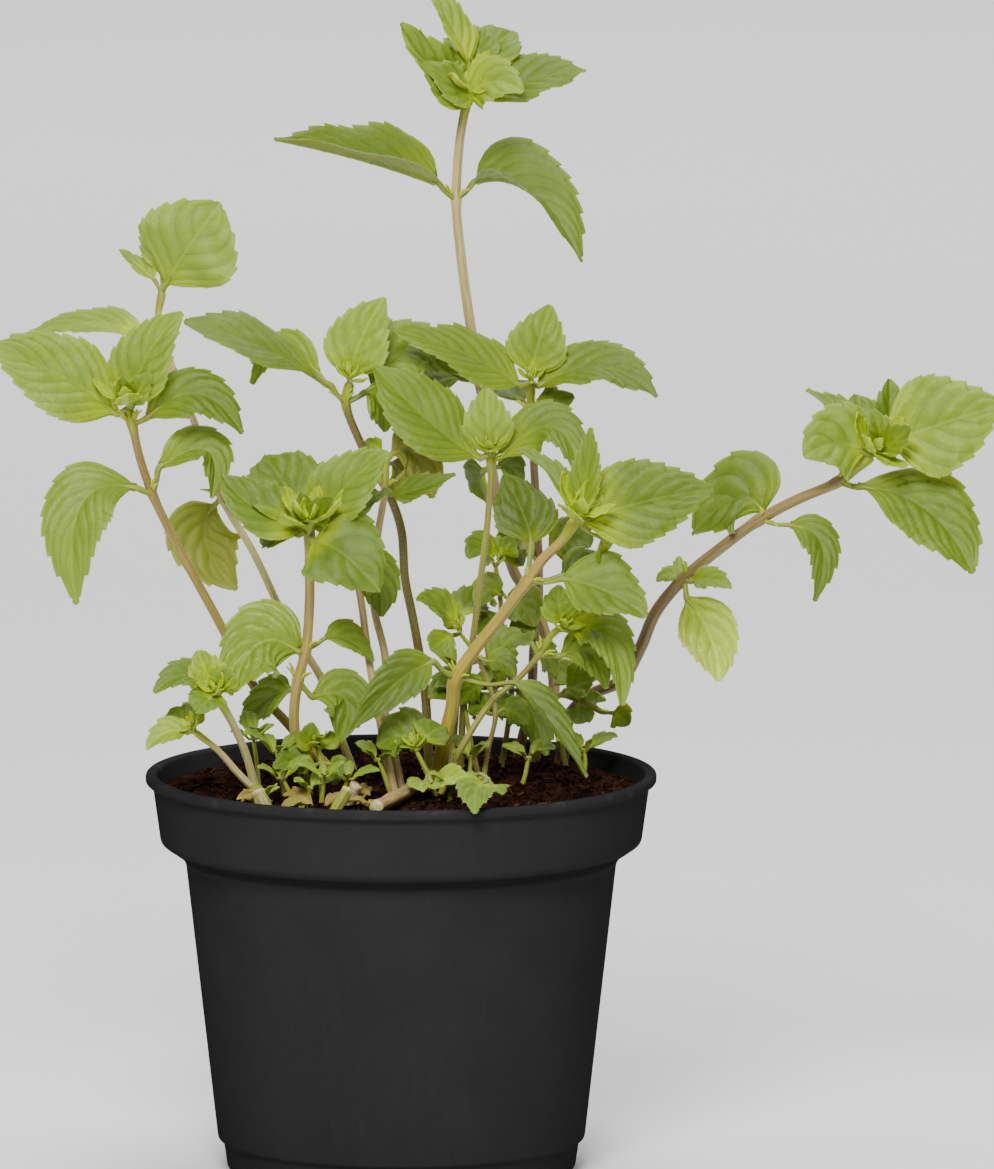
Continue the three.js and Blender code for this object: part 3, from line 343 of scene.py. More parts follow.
SHOOTS["shoot_round_leaf"] = Shoot(
    thick=(1.25, 1.0), tone="cream", pink=0.05, light=0.7,
    stem=(
        (-13, 20, 101), (-17, 20, 112), (-20, 20, 122), (-24, 20, 129), (-28, 20, 135),
        (-31, 20, 141), (-38, 20, 156), (-46, 20, 170), (-52, 21, 187), (-58, 22, 202),
        (-62, 24, 214), (-61, 25, 222),
    ),
    leaves=(
        (11, (-60, 24, 224), (-54, 22, 234), (-46, 24, 245), 28, (-0.1, -0.95, 0.3), 6,
         dict(widest=0.47, light=0.95, quilt=0.6, young=0.4)),
        (11, (-63, 26, 225), (-67, 29, 228), (-72, 32, 232), 7, (0.3, -0.6, 0.7), 25),
        (11, (-61, 28, 226), (-63, 33, 232), (-67, 37, 238), 9, (0.2, -0.9, 0.4), 20),
        (7, (-48, 24, 167), (-50, 27, 157), (-42, 26, 145), 21, (0, -0.95, 0.3), 15,
         dict(light=1.1, brown=0.28, young=0.0)),
    ),
)
SHOOTS["shoot_low_left"] = Shoot(
    thick=(1.2, 1.2), tone="cream", pink=0.15, light=0.6, bud=7.0,
    stem=(
        (-37, -22, 102), (-39, -24, 110), (-42, -28, 118), (-46, -32, 126),
    ),
    leaves=(
        (3, (-47, -32, 128), (-49, -33, 133), (-51, -32, 138), 12, (-0.1, -0.95, 0.3), 22,
         dict(light=1.1, young=0.9, young_to=1.2)),
        (3, (-49, -33, 129), (-55, -35, 132), (-62, -38, 128), 11, (0, -0.65, 0.75), 22),
        (3, (-47, -36, 127), (-49, -41, 126), (-51, -45, 124), 11, (0, -0.6, 0.7), 12),
        (3, (-45, -33, 128), (-44, -35, 131), (-43, -35, 134), 9, (0, -0.9, 0.4), 18),
    ),
    tufts=(
        (-33, -37, (-0.3, -0.2), 4, 5, 1.0), (-36, -15, (-0.1, 0.0), 14, 9, 0.3),
    ),
)
SHOOTS["shoot_lowest_left"] = Shoot(
    thick=(1.3, 0.8), tone="cream", pink=0.3, light=0.6, bud=4.0,
    stem=(
        (-35, -28, 100), (-41, -28, 106), (-46, -29, 112), (-52, -30, 117),
    ),
    leaves=(
        (3, (-54, -31, 117), (-59, -32, 117), (-64, -34, 113), 9, (0, -0.7, 0.7), 22, dict(light=1.2)),
        (3, (-53, -29, 118), (-56, -28, 120), (-59, -26, 121), 11, (0, -0.85, 0.5), 18),
        (3, (-52, -30, 119), (-51, -30, 121), (-52, -29, 123), 4, (0, -0.95, 0.3), 15),
    ),
)
SHOOTS["shoot_small_right"] = Shoot(
    thick=(1.0, 0.8), tone="green", pink=0.1, light=0.6, bud=6.0,
    stem=(
        (12, -16, 103), (15, -17, 110), (23, -13, 122), (30, -12, 128), (35, -13, 134),
        (38, -14, 139), (40, -15, 141),
    ),
    leaves=(
        (6, (41, -17, 143), (40, -19, 148), (40, -20, 153), 11, (0.1, -0.95, 0.3), 20, dict(light=1.1)),
        (6, (42, -14, 142), (48, -13, 145), (52, -13, 144), 10, (0, -0.75, 0.6), 18, dict(light=0.8)),
        (6, (43, -16, 141), (53, -22, 139), (56, -27, 123), 15, (0.5, -0.8, 0.4), 15, dict(light=0.75)),
        (4, (41, -12, 134), (48, -11, 134), (52, -12, 125), 13, (0.3, -0.8, 0.5), 18),
        (4, (33, -12, 137), (31, -9, 137), (29, -6, 137), 8, (0, -0.7, 0.7), 18),
    ),
)
SHOOTS["sprig_back_right"] = Shoot(
    thick=(0.9, 0.7),
    stem=(
        (41, 30, 103), (39, 27, 112), (40, 24, 118), (46, 20, 117), (51, 17, 115), (53, 15, 115),
    ),
    leaves=(
        (3, (45, 19, 116), (45, 18, 114), (44, 17, 112), 9, (0, -1, 0.1), 8),
        (4, (49, 18, 117), (49, 19, 118), (49, 20, 120), 7, (0, -1, 0.2), 8),
        (5, (54, 15, 115), (56, 14, 114), (58, 13, 112), 8, (0.2, -1, 0.1), 8),
        (2, (42, 22, 120), (46, 19, 123), (51, 17, 126), 11, (0, -0.8, 0.6), 15),
        (2, (37, 23, 116), (35, 21, 113), (34, 19, 109), 9, (-0.2, -0.9, 0.3), 12),
    ),
    tufts=(
        (46, 16, (0.1, 0.0), 7, 8, 0.5),
    ),
)
SHOOTS["sprig_middle"] = Shoot(
    thick=(0.8, 0.6), bud=4.0,
    stem=(
        (21, -6, 101), (22, -4, 108), (24, -1, 117), (22, 2, 125), (19, 0, 132), (15, -2, 138),
    ),
    leaves=(
        (5, (14, -4, 141), (9, -8, 146), (4, -12, 148), 11, (0.1, -0.75, 0.6), 22),
        (5, (15, 10, 141), (18, 20, 143), (22, 23, 145), 11, (0, -0.85, 0.5), 15),
        (5, (13, -6, 138), (10, -10, 137), (8, -13, 135), 8, (0, -0.8, 0.6), 15),
        (3, (24, 3, 127), (27, 4, 135), (32, 5, 134), 10, (0, -0.8, 0.6), 15),
        (3, (21, 4, 124), (18, 7, 122), (15, 9, 118), 8, (0, -0.9, 0.4), 12),
        (2, (26, 1, 118), (29, 2, 117), (32, 2, 114), 9, (0, -0.9, 0.4), 12),
        (2, (22, 3, 117), (20, 6, 118), (17, 9, 116), 9, (0, -0.9, 0.4), 12),
    ),
    tufts=(
        (17, -10, (0.1, 0.1), 8, 8, 0.4), (30, -6, (0.3, 0.0), 8, 8, 0.6),
    ),
)
SHOOTS["sprig_behind_middle"] = Shoot(
    thick=(0.9, 0.7), bud=3.5,
    stem=(
        (25, 24, 97), (27, 24, 109), (28, 23, 120), (26, 22, 133), (25, 21, 146), (24, 20, 152),
    ),
    leaves=(
        (5, (23, 19, 154), (20, 16, 157), (17, 13, 155), 11, (0, -0.8, 0.6), 20),
        (5, (26, 20, 155), (27, 20, 157), (29, 21, 159), 9, (0, -0.85, 0.5), 20),
        (3, (28, 20, 134), (31, 18, 136), (34, 16, 134), 10, (0, -0.8, 0.6), 15),
        (3, (24, 20, 135), (22, 18, 137), (19, 16, 135), 10, (0, -0.8, 0.6), 15),
        (2, (30, 20, 120), (34, 17, 113), (37, 14, 104), 12, (0.3, -0.9, 0.3), 15),
    ),
    tufts=(
        (20, 12, (-0.2, 0.0), 20, 11, 0.3), (12, 20, (0.1, 0.1), 26, 11, 0.4),
    ),
)
SHOOTS["sprig_front"] = Shoot(
    thick=(0.8, 0.7), bud=4.0,
    stem=(
        (8, -23, 102), (7, -24, 105), (4, -24, 111),
    ),
    leaves=(
        (2, (3, -24, 112), (0, -23, 115), (-6, -22, 112), 16, (0, -0.75, 0.6), 15,
         dict(light=0.6, young=0.3)),
        (2, (6, -25, 114), (8, -24, 116), (11, -20, 117), 12, (-0.1, -0.85, 0.5), 15),
        (1, (8, -30, 104), (12, -36, 106), (17, -40, 107), 10, (0, -0.7, 0.7), 20, dict(light=1.6)),
        (1, (6, -30, 104), (5, -34, 104), (6, -38, 103), 8, (0, -0.7, 0.7), 20, dict(light=1.2)),
    ),
    tufts=(
        (-2, -20, (-0.4, 0.0), 9, 9, 0.5), (12, -33, (0.2, -0.3), 5, 7, 1.2),
    ),
)
SHOOTS["sprig_over_rim"] = Shoot(
    thick=(0.7, 0.6),
    stem=(
        (16, -26, 99), (18, -30, 104), (20, -36, 107), (22, -42, 107),
    ),
    leaves=(
        (3, (21, -50, 107), (19, -58, 106), (19, -67, 102), 11, (0, -0.85, 0.6), 12),
        (3, (23, -46, 106), (24, -51, 106), (26, -55, 105), 8, (0.2, -0.8, 0.6), 12),
    ),
)
SHOOTS["sprig_low_middle_left"] = Shoot(
    thick=(0.8, 0.7), bud=4.0,
    stem=(
        (-20, -24, 102), (-20, -24, 108), (-21, -24, 112),
    ),
    leaves=(
        (2, (-22, -25, 113), (-23, -27, 115), (-22, -28, 119), 8, (0, -0.95, 0.3), 15),
        (2, (-20, -23, 112), (-18, -22, 114), (-18, -24, 116), 7, (0, -0.95, 0.3), 15),
        (1, (-18, -25, 108), (-16, -26, 107), (-17, -28, 103), 7, (0, -0.95, 0.3), 12),
        (1, (-22, -26, 108), (-27, -28, 109), (-32, -32, 108), 9, (0, -0.8, 0.6), 15),
        (1, (-20, -28, 107), (-19, -33, 106), (-20, -38, 105), 7, (0, -0.75, 0.65), 15),
    ),
    tufts=(
        (-27, -31, (-0.5, -0.2), 6, 7, 0.8), (-24, -36, (0.2, -0.3), 5, 6, 1.1),
        (-16, -31, (0.4, -0.1), 7, 7, 0.6), (-29, -23, (-0.2, 0.0), 12, 9, 0.4),
        (-20, -36, (0.1, -0.2), 8, 6, 0.9),
    ),
)

# More leaves low among the stems, grown after all shoots, in the form of a shoot's leaves.
SIDE_LEAVES = {
    "sprig_behind_middle": (
        (4, (27, 20, 144), (31, 18, 142), (34, 16, 137), 13, (0.2, -0.9, 0.3), 12),
        (4, (25, 19, 145), (22, 18, 146), (19, 16, 142), 10, (-0.2, -0.9, 0.3), 12),
        (2, (26, 21, 121), (23, 19, 123), (19, 17, 121), 10, (-0.1, -0.85, 0.4), 12),
    ),
    "sprig_middle": (
        (2, (22, 6, 117), (26, 7, 118), (31, 8, 115), 9, (0.1, -0.85, 0.5), 12),
        (4, (22, -3, 131), (26, -5, 131), (29, -6, 127), 8, (0.2, -0.85, 0.5), 15),
    ),
    "shoot_small_right": ((4, (34, -8, 134), (37, -4, 132), (39, -1, 127), 9, (0.2, -0.85, 0.4), 15),),
    "sprig_back_right": ((3, (44, 22, 121), (41, 24, 124), (38, 25, 123), 9, (0, -0.85, 0.5), 12),),
    "shoot_tall": ((12, (18, 4, 275), (13, 0, 278), (6, -3, 284), 14, (0.2, -0.75, 0.6), 18),),
}

# Old stems: radius, colour and path.
OLD_STEMS = {
    "old_stem_lying": (
        2.0, (154, 130, 82), ((5, -14, 94), (4, -20, 100.4), (0, -36, 101.6), (-6, -54, 101.4))),
    "cut_stub_front": (1.6, (140, 146, 52), ((-19, -47, 92), (-16, -46, 100), (-13, -44, 104.5))),
    "cut_stub_middle": (1.8, (172, 156, 116), ((-15, -31, 92), (-13, -32, 100), (-11, -33, 104))),
    "cut_stub_left": (2.0, (160, 154, 92), ((-34, -45, 92), (-34, -43, 99), (-36, -41, 103.5))),
}

# Dead leaves on the soil at the foot of each old stem: place, heading in degrees, length.
DEAD_LEAVES = {
    "cut_stub_left": ((-33, -36, 205, 9), (-30, -41, 350, 8), (-38, -30, 250, 6), (-36, -38, 120, 7)),
    "cut_stub_front": ((-19, -42, 30, 7), (-22, -38, 160, 8), (-25, -43, 80, 5)),
    "cut_stub_middle": ((-11, -31, 65, 9), (-13, -26, 320, 7), (-8, -38, 200, 6)),
    "old_stem_lying": ((3, -28, 40, 6), (-5, -44, 130, 6)),
}


# ---- colours

def colour(r, g, b):
    """Scene-linear colour of an sRGB colour with channels from 0 to 255."""
    def linear(c):
        c /= 255.0
        return c / 12.92 if c <= 0.04045 else ((c + 0.055) / 1.055) ** 2.4
    return np.array([linear(r), linear(g), linear(b)])


HAIR = colour(176, 182, 120)
LEAF = colour(88, 112, 22)
LEAF_LIGHT = colour(118, 142, 38)
LEAF_DARK = colour(60, 76, 16)
YOUNG = colour(160, 180, 1)
BUD = colour(160, 184, 1)
BROWN_LEAF = colour(140, 112, 56)
DEAD_LEAF = colour(142, 132, 50)
STALK = colour(140, 150, 40)
PINK = colour(148, 104, 84)
FRESH_STEM = colour(142, 156, 8)
CUT_END = colour(196, 188, 130)
FIBRE_TONES = (colour(52, 30, 21), colour(40, 23, 16), colour(74, 50, 36), colour(28, 17, 12))
STEM_TONES = {  # at the soil and at the top
    "beige": (colour(146, 136, 44), colour(160, 140, 76)),
    "yellow": (colour(176, 164, 16), colour(146, 124, 62)),
    "olive": (colour(104, 98, 32), colour(94, 90, 24)),
    "brown": (colour(92, 74, 46), colour(132, 118, 56)),
    "pale": (colour(178, 160, 100), colour(188, 172, 108)),
    "green": (colour(130, 132, 40), colour(136, 140, 46)),
    "golden": (colour(136, 138, 14), colour(136, 108, 56)),
    "cream": (colour(168, 166, 88), colour(186, 176, 122)),
}


# ---- helpers

def unit(v):
    return v / np.maximum(np.linalg.norm(v, axis=-1, keepdims=True), 1e-9)


def mix(a, b, t):
    return a + (b - a) * t


def smooth(t, low=0.0, high=1.0):
    """Goes smoothly from 0 to 1 as t goes from low to high."""
    t = np.clip((t - low) / (high - low), 0.0, 1.0)
    return t * t * (3.0 - 2.0 * t)


def any_phase():
    """A random phase or angle in radians."""
    return rng.uniform(0, 6.28)


def around(count):
    """The angles of evenly spaced points round a circle."""
    return np.arange(count) * 2 * math.pi / count


def distance_along(points):
    return np.concatenate([[0], np.cumsum(np.linalg.norm(np.diff(points, axis=0), axis=1))])


def add_object(name, data):
    piece = bpy.data.objects.new(name, data)
    bpy.context.scene.collection.objects.link(piece)
    return piece


def place(piece, slot, node):
    """The piece rides on the part's one body and replaces a node of the CAD model."""
    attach(piece, "root")
    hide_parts(node)


class Sheets:
    """Gathers vertices, faces and vertex attributes for one mesh, in millimetres."""

    def __init__(self):
        self.points, self.faces, self.values = [], [], {}
        self.count = 0
        self.hair_roots, self.hair_ways = [], []

    def may_grow_hairs(self, roots, ways):
        self.hair_roots.append(roots.reshape(-1, 3))
        self.hair_ways.append(ways.reshape(-1, 3))

    def add(self, points, faces, **values):
        self.points.append(points)
        self.faces.extend([tuple(i + self.count for i in face) for face in faces])
        for name, data in values.items():
            self.values.setdefault(name, []).append(data)
        self.count += len(points)

    def build(self, name, material, slot, node):
        mesh = bpy.data.meshes.new(name)
        points = np.concatenate(self.points) * MM
        mesh.from_pydata(points.tolist(), [], self.faces)
        for key, parts in self.values.items():
            attribute = mesh.attributes.new(key, "FLOAT_VECTOR", "POINT")
            attribute.data.foreach_set("vector", np.concatenate(parts).astype(np.float32).ravel())
        mesh.shade_smooth()
        mesh.update()
        mesh.materials.append(material)
        place(add_object(name, mesh), slot, node)


def closed_faces(rings, sides, flip=False):
    """Faces of a tube of rings, with a fan at each end round one of the two points that
    follow the rings. flip turns the faces over, for rings that run down or outwards."""
    pairs = [(k, (k + 1) % sides) for k in range(sides)]
    last = (rings - 1) * sides
    start, end = rings * sides, rings * sides + 1
    faces = []
    for i in range(0, last, sides):
        faces += [(i + k, i + n, i + sides + n, i + sides + k) for k, n in pairs]
    for k, n in pairs:
        faces += [(start, n, k), (end, last + k, last + n)]
    return [(first, *others[::-1]) for first, *others in faces] if flip else faces


# ---- materials

class Wire:
    """A socket of a look's node tree that can be reckoned with."""

    def __init__(self, look, socket):
        self.look, self.socket = look, socket

    def calc(self, operation, *others):
        return self.look.node("Math", 0, dict(enumerate((self, *others))), operation=operation)

    def __add__(self, other):
        return self.calc("ADD", other)

    def __sub__(self, other):
        return self.calc("SUBTRACT", other)

    def __mul__(self, other):
        return self.calc("MULTIPLY", other)

    def step(self, low, high, start=0.0, end=1.0):
        """Goes smoothly from start to end as this value goes from low to high."""
        inputs = {"Value": self, "From Min": low, "From Max": high, "To Min": start, "To Max": end}
        return self.look.node("MapRange", "Result", inputs, interpolation_type="SMOOTHSTEP")

    def fall(self, low, high):
        """Goes smoothly from 1 to 0 as this value goes from low to high."""
        return self.step(low, high, 1.0, 0.0)


class Look:
    """A material around one Principled shader."""

    def __init__(self, name, **uniform):
        self.material = bpy.data.materials.new(name)
        self.material.use_nodes = True
        self.tree = self.material.node_tree
        self.shader = self.tree.nodes["Principled BSDF"]
        for key, value in uniform.items():
            self.shader.inputs[key.replace("_", " ")].default_value = value

    def node(self, kind, output, inputs=(), **settings):
        """Adds a node and gives its output. An input is a Wire, a number or a vector."""
        node = self.tree.nodes.new("ShaderNode" + kind)
        for key, value in settings.items():
            setattr(node, key, value)
        for key, item in dict(inputs).items():
            slot = node.inputs[key]
            if isinstance(item, Wire):
                self.tree.links.new(item.socket, slot)
            elif slot.type == "RGBA":
                slot.default_value = (*item, 1.0)
            else:
                slot.default_value = item
        return Wire(self, node.outputs[output])

    def attribute(self, name):
        return self.node("Attribute", "Vector", attribute_name=name)

    def axes(self, wire):
        """The three numbers of a vector."""
        first = self.node("SeparateXYZ", 0, {0: wire})
        return [Wire(self, output) for output in first.socket.node.outputs]

    def object_place(self):
        return self.node("TexCoord", "Object")

    def stretched(self, place, x, y, z):
        return self.node("Mapping", "Vector", {"Vector": place, "Scale": (x, y, z)})

    def noise(self, place, scale, detail=4.0, roughness=0.55):
        inputs = {"Vector": place, "Scale": scale, "Detail": detail, "Roughness": roughness}
        return self.node("TexNoise", "Fac", inputs)

    def cells(self, place, scale, feature="DISTANCE_TO_EDGE"):
        inputs = {"Vector": place, "Scale": scale}
        return self.node("TexVoronoi", "Distance", inputs, feature=feature)

    def blend(self, share, low, high, kind="MIX"):
        """A Mix node. Its sockets 6, 7 and 2 are the two colours and the blended one."""
        inputs = {"Factor": share, 6: low, 7: high}
        return self.node("Mix", 2, inputs, data_type="RGBA", blend_type=kind)

    def times(self, base, by):
        return self.blend(1.0, base, by, "MULTIPLY")

    def shade(self, key, wire):
        self.tree.links.new(wire.socket, self.shader.inputs[key])

    def bump(self, height, distance, strength=1.0):
        inputs = {"Height": height, "Distance": distance, "Strength": strength}
        self.shade("Normal", self.node("Bump", "Normal", inputs))


def leaf_look():
    """Reads where on its blade a point lies: the side veins, the midrib and a fine net. It paints shade
    into the sunken side veins, highlights along their edges, and light and shade over the quilted bulges
    between them.
    """
    look = Look("mint_blade", Specular_IOR_Level=0.3, Subsurface_Weight=0.22,
                Subsurface_Scale=0.0016, Subsurface_Radius=(1.0, 1.0, 0.25))
    u, a, veins = look.axes(look.attribute("blade"))
    under, gloss, length = look.axes(look.attribute("kind"))
    place = look.attribute("spot")
    tint = look.attribute("tint")
    phase = veins * (u - (a * VEIN_LEAN + a * a * a * VEIN_BEND))
    off = (phase + 0.5).calc("FRACT") - 0.5
    distance = off.calc("ABSOLUTE") * length.calc("DIVIDE", veins)
    fade = a.fall(0.78, 1.0) * u.fall(0.80, 0.97)
    side_vein = distance.fall(0.04, 0.26) * fade
    across = look.axes(place)[1].calc("ABSOLUTE")
    midrib = across.fall(0.22, 0.62)
    net_edges = look.cells(place, 0.85)
    net = net_edges.fall(0.02, 0.14) * fade
    cloud = look.noise(place, 0.16, 3.0)
    grain = look.noise(place, 1.9, 2.0)

    top = look.times(tint, look.blend(cloud, (0.74, 0.78, 0.72), (1.20, 1.16, 1.34)))
    top = look.blend(net * 0.16, top, look.times(top, (0.72, 0.78, 0.62)))
    pale = look.times(top, (1.34, 1.26, 1.5))
    # Painted light and shade of the quilting: darker in the hollows along the veins, lighter on the
    # bulges between them.
    puff = look.blend(distance.step(0.25, 1.5), (0.90, 0.92, 0.88), (1.08, 1.06, 1.10))
    veined = look.blend(fade, top, look.times(top, puff))
    # Painted highlight: a pale band along each side of a sunken vein, as if its edges caught the light.
    painted_ridge_highlight = distance.step(0.20, 0.42) * distance.fall(0.50, 0.90) * fade
    veined = look.blend(painted_ridge_highlight * 0.16, veined, pale)
    # Painted shade: the sunken side veins are darkened as if shaded in their grooves.
    veined = look.blend(side_vein * 0.5, veined, look.times(top, (0.54, 0.64, 0.48)))
    veined = look.blend(midrib * 0.7, veined, pale)

    back = look.blend(0.2, look.times(tint, (1.18, 1.14, 0.9)), (0.24, 0.26, 0.04))
    ribs = side_vein.calc("MAXIMUM", midrib)
    back = look.blend(ribs * 0.5, back, (0.30, 0.33, 0.10))

    look.shade("Base Color", look.blend(under, veined, back))
    look.shade("Roughness", (grain * 0.10 + 0.50) - gloss * 0.22)
    height = (grain * 0.2) + (net_edges.step(0.0, 0.35) * fade * 0.45) - (side_vein * 0.4)
    look.bump(height, 0.00012, 0.6)
    return look.material


def stem_look():
    """Young stems: fine streaks along them, with pink blotches."""
    look = Look("mint_stem", Specular_IOR_Level=0.4, Sheen_Weight=0.15)
    place = look.attribute("spot")
    streaks = look.noise(look.stretched(place, 0.07, 1.6, 1.0), 1.0, 4.0)
    blotch = look.noise(place, 0.11, 3.0)
    shade = look.blend(streaks.step(0.3, 0.7), (0.74, 0.71, 0.64), (1.26, 1.25, 1.30))
    base = look.times(look.attribute("tint"), shade)
    pink = look.times(base, (1.10, 0.86, 0.98))
    look.shade("Base Color", look.blend(blotch.step(0.5, 0.78), base, pink))
    look.shade("Roughness", streaks * 0.2 + 0.42)
    look.bump(streaks, 0.00025, 0.7)
    return look.material


def old_stem_look():
    """Old stems: rougher, with darker streaks."""
    look = Look("old_stem", Specular_IOR_Level=0.3)
    streaks = look.noise(look.stretched(look.attribute("spot"), 0.09, 1.3, 1.0), 1.0, 5.0)
    shade = look.blend(streaks.step(0.25, 0.75), (0.55, 0.5, 0.45), (1.3, 1.3, 1.3))
    look.shade("Base Color", look.times(look.attribute("tint"), shade))
    look.shade("Roughness", streaks * 0.2 + 0.6)
    look.bump(streaks, 0.0005, 0.8)
    return look.material


def soil_look():
    """Peat: dark, with brown fibres and a few light specks."""
    look = Look("peat", Specular_IOR_Level=0.0)
    place = look.object_place()
    coarse = look.noise(place, 260.0, 6.0, 0.65)
    fibre = look.noise(look.stretched(place, 1.0, 3.4, 1.0), 420.0, 5.0, 0.6)
    speck = look.cells(place, 620.0, "F1")
    dark = look.blend(coarse.step(0.35, 0.68), (0.0050, 0.0020, 0.0011), (0.030, 0.0125, 0.0078))
    brown = look.blend(fibre.step(0.56, 0.74), dark, (0.085, 0.036, 0.022))
    light = look.noise(place, 900.0, 1.0).step(0.72, 0.78) * speck.fall(0.10, 0.34)
    look.shade("Base Color", look.blend(light * 0.8, brown, (0.19, 0.13, 0.075)))
    look.shade("Roughness", coarse.step(0.3, 0.7, 0.62, 0.98))
    look.bump(coarse * 0.7 + fibre * 0.5, 0.0012, 0.9)
    return look.material


def fibre_look():
    """The fibres in the peat, each with its own tint."""
    look = Look("peat_fibre", Roughness=0.85, Specular_IOR_Level=0.1)
    grain = look.noise(look.object_place(), 700.0, 3.0)
    shade = look.blend(grain, (0.6, 0.6, 0.6), (1.4, 1.4, 1.4))
    look.shade("Base Color", look.times(look.attribute("tint"), shade))
    look.bump(grain, 0.0004, 0.6)
    return look.material


def pot_look():
    """Black moulded plastic: faint drawn-up scuffs, mottling and a little dust on top, with painted shade
    in a dark line on the shoulder under the band.
    """
    look = Look("black_plastic", Specular_IOR_Level=0.0)
    place = look.object_place()
    z = look.axes(place)[2]
    scuffs = look.noise(look.stretched(place, 1.0, 1.0, 0.05), 520.0, 5.0, 0.6)
    mottle = look.noise(place, 45.0, 4.0)
    grain = look.noise(place, 2400.0, 2.0)
    black = look.blend(mottle, (0.016, 0.016, 0.0162), (0.023, 0.023, 0.0233))
    worn_and_shaded = look.blend(scuffs.step(0.50, 0.90, 0.0, 0.10), black, (0.05, 0.05, 0.049))
    # Painted shade: a dark line on the shoulder just under the band, where the band's overhang shades the
    # wall.
    shade_under_band = z.step(0.0795, 0.0810) * z.fall(0.0825, 0.0838)
    worn_and_shaded = look.blend(shade_under_band * 0.6, worn_and_shaded, (0.005, 0.005, 0.005))
    dust = look.noise(place, 160.0, 5.0).step(0.56, 0.74) * z.step(0.0985, 0.1015, 0.0, 0.12)
    look.shade("Base Color", look.blend(dust, worn_and_shaded, (0.13, 0.12, 0.11)))
    look.shade("Roughness", mottle * 0.14 + scuffs * 0.12 + 0.5)
    look.bump(grain * 0.6 + scuffs * 0.4, 0.00010, 0.6)
    return look.material


def ground_look():
    look = Look("pale_ground", Roughness=0.9, Specular_IOR_Level=0.1)
    haze = look.noise(look.object_place(), 3.0, 2.0)
    look.shade("Base Color", look.blend(haze, (0.82, 0.82, 0.81), (0.85, 0.85, 0.84)))
    return look.material


# ---- tubes

def course(knots, step, radii):
    """Points and radii along a smooth curve through `knots`, and the point at each knot."""
    p = np.array(knots, float)
    p = np.vstack([2 * p[0] - p[1], p, 2 * p[-1] - p[-2]])
    points, shares, marks = [], [], []
    stretches = len(knots) - 1
    for i in range(stretches):
        a, b, c, d = p[i:i + 4]
        t1 = np.linalg.norm(b - a) ** 0.5
        t2 = t1 + np.linalg.norm(c - b) ** 0.5
        t3 = t2 + np.linalg.norm(d - c) ** 0.5
        count = max(2, int(math.ceil(np.linalg.norm(c - b) / step)))
        marks.append(len(points))
        for k in range(count):
            t = t1 + (t2 - t1) * k / count
            ab = (a * (t1 - t) + b * t) / t1
            bc = (b * (t2 - t) + c * (t - t1)) / (t2 - t1)
            cd = (c * (t3 - t) + d * (t - t2)) / (t3 - t2)
            abc = (ab * (t2 - t) + bc * t) / t2
            bcd = (bc * (t3 - t) + cd * (t - t1)) / (t3 - t1)
            points.append((abc * (t2 - t) + bcd * (t - t1)) / (t2 - t1))
            shares.append((i + k / count) / stretches)
    marks.append(len(points))
    points.append(p[-2])
    shares.append(1.0)
    return np.array(points), np.interp(shares, np.linspace(0, 1, len(radii)), radii), marks


def tube(sheets, points, radii, sides, tint, squareness=0.0, cap=0.6, hairy=False):
    """A closed limb with pointed ends. tint is one colour, or one for each ring and side."""
    rings = len(points)
    along = unit(np.gradient(points, axis=0))
    side = np.array([1.0, 0, 0]) if abs(along[0][0]) < 0.8 else np.array([0, 1.0, 0])
    turns = around(sides)
    shape = 1.0 - squareness + squareness * np.cos(4 * turns)
    corners = np.empty((rings, sides, 3))
    for i in range(rings):
        side = unit(side - along[i] * np.dot(side, along[i]))
        across = np.cross(along[i], side)
        reach = radii[i] * shape
        corners[i] = points[i] + np.outer(reach * np.cos(turns), side) \
            + np.outer(reach * np.sin(turns), across)
    if hairy:
        outward = corners - points[:, None] + 0.5 * radii[0] * along[:, None]
        sheets.may_grow_hairs(corners, unit(outward))
    ends = [points[0] - along[0] * radii[0] * cap, points[-1] + along[-1] * radii[-1] * cap]
    seed = rng.uniform(0, 90)
    spot = np.empty((rings, sides, 3))  # along and round the stem, for its streaks
    spot[..., 0] = distance_along(points)[:, None] + seed
    spot[..., 1] = radii[:, None] * np.cos(turns)[None] * 1.6
    spot[..., 2] = radii[:, None] * np.sin(turns)[None] * 1.6 + seed
    tints = np.broadcast_to(tint, (rings, sides, 3)).reshape(-1, 3)
    sheets.add(
        np.vstack([corners.reshape(-1, 3), *ends]), closed_faces(rings, sides),
        spot=np.vstack([spot.reshape(-1, 3), spot[0, :1], spot[-1, :1]]),
        tint=np.vstack([tints, tints[:1], tints[-1:]]),
    )


# ---- blades

# Where a blade's columns lie between midrib (0) and edge (1), and the rows of one tooth.
COLUMNS = {
    "fine": (0, .03, .075, .13, .2, .28, .36, .44, .52, .6, .68, .76, .83, .89, .94, .975, 1),
    "middle": (0, .06, .14, .24, .36, .48, .6, .72, .83, .92, 1),
    "coarse": (0, .12, .28, .46, .64, .82, 1),
}
TOOTH_ROWS = {
    "fine": (0, .18, .36, .52, .67, .80, .91),
    "middle": (0, .27, .54, .80, .91),
    "coarse": (0, .4, .80),
}


def outline(u, widest):
    """Half the blade's width at u, from 0 to about 1."""
    stretch = math.log(0.5) / math.log(widest)
    bulge = np.maximum(np.sin(math.pi * np.clip(u, 0, 1) ** stretch), 0)
    full = bulge ** mix(BASE_FULLNESS, TIP_FULLNESS, u)
    return full * (1 - 0.42 * smooth(u, 0.84, 1.0))


def bezier(base, middle, tip):
    """The place and the heading at each share of the way along a midrib."""
    pull = 2 * middle - 0.5 * (base + tip)

    def at(t):
        t = t[..., None]
        return base * (1 - t) ** 2 + pull * 2 * t * (1 - t) + tip * t * t

    def slope(t):
        t = t[..., None]
        return unit((pull - base) * (1 - t) + (tip - pull) * t)
    return at, slope


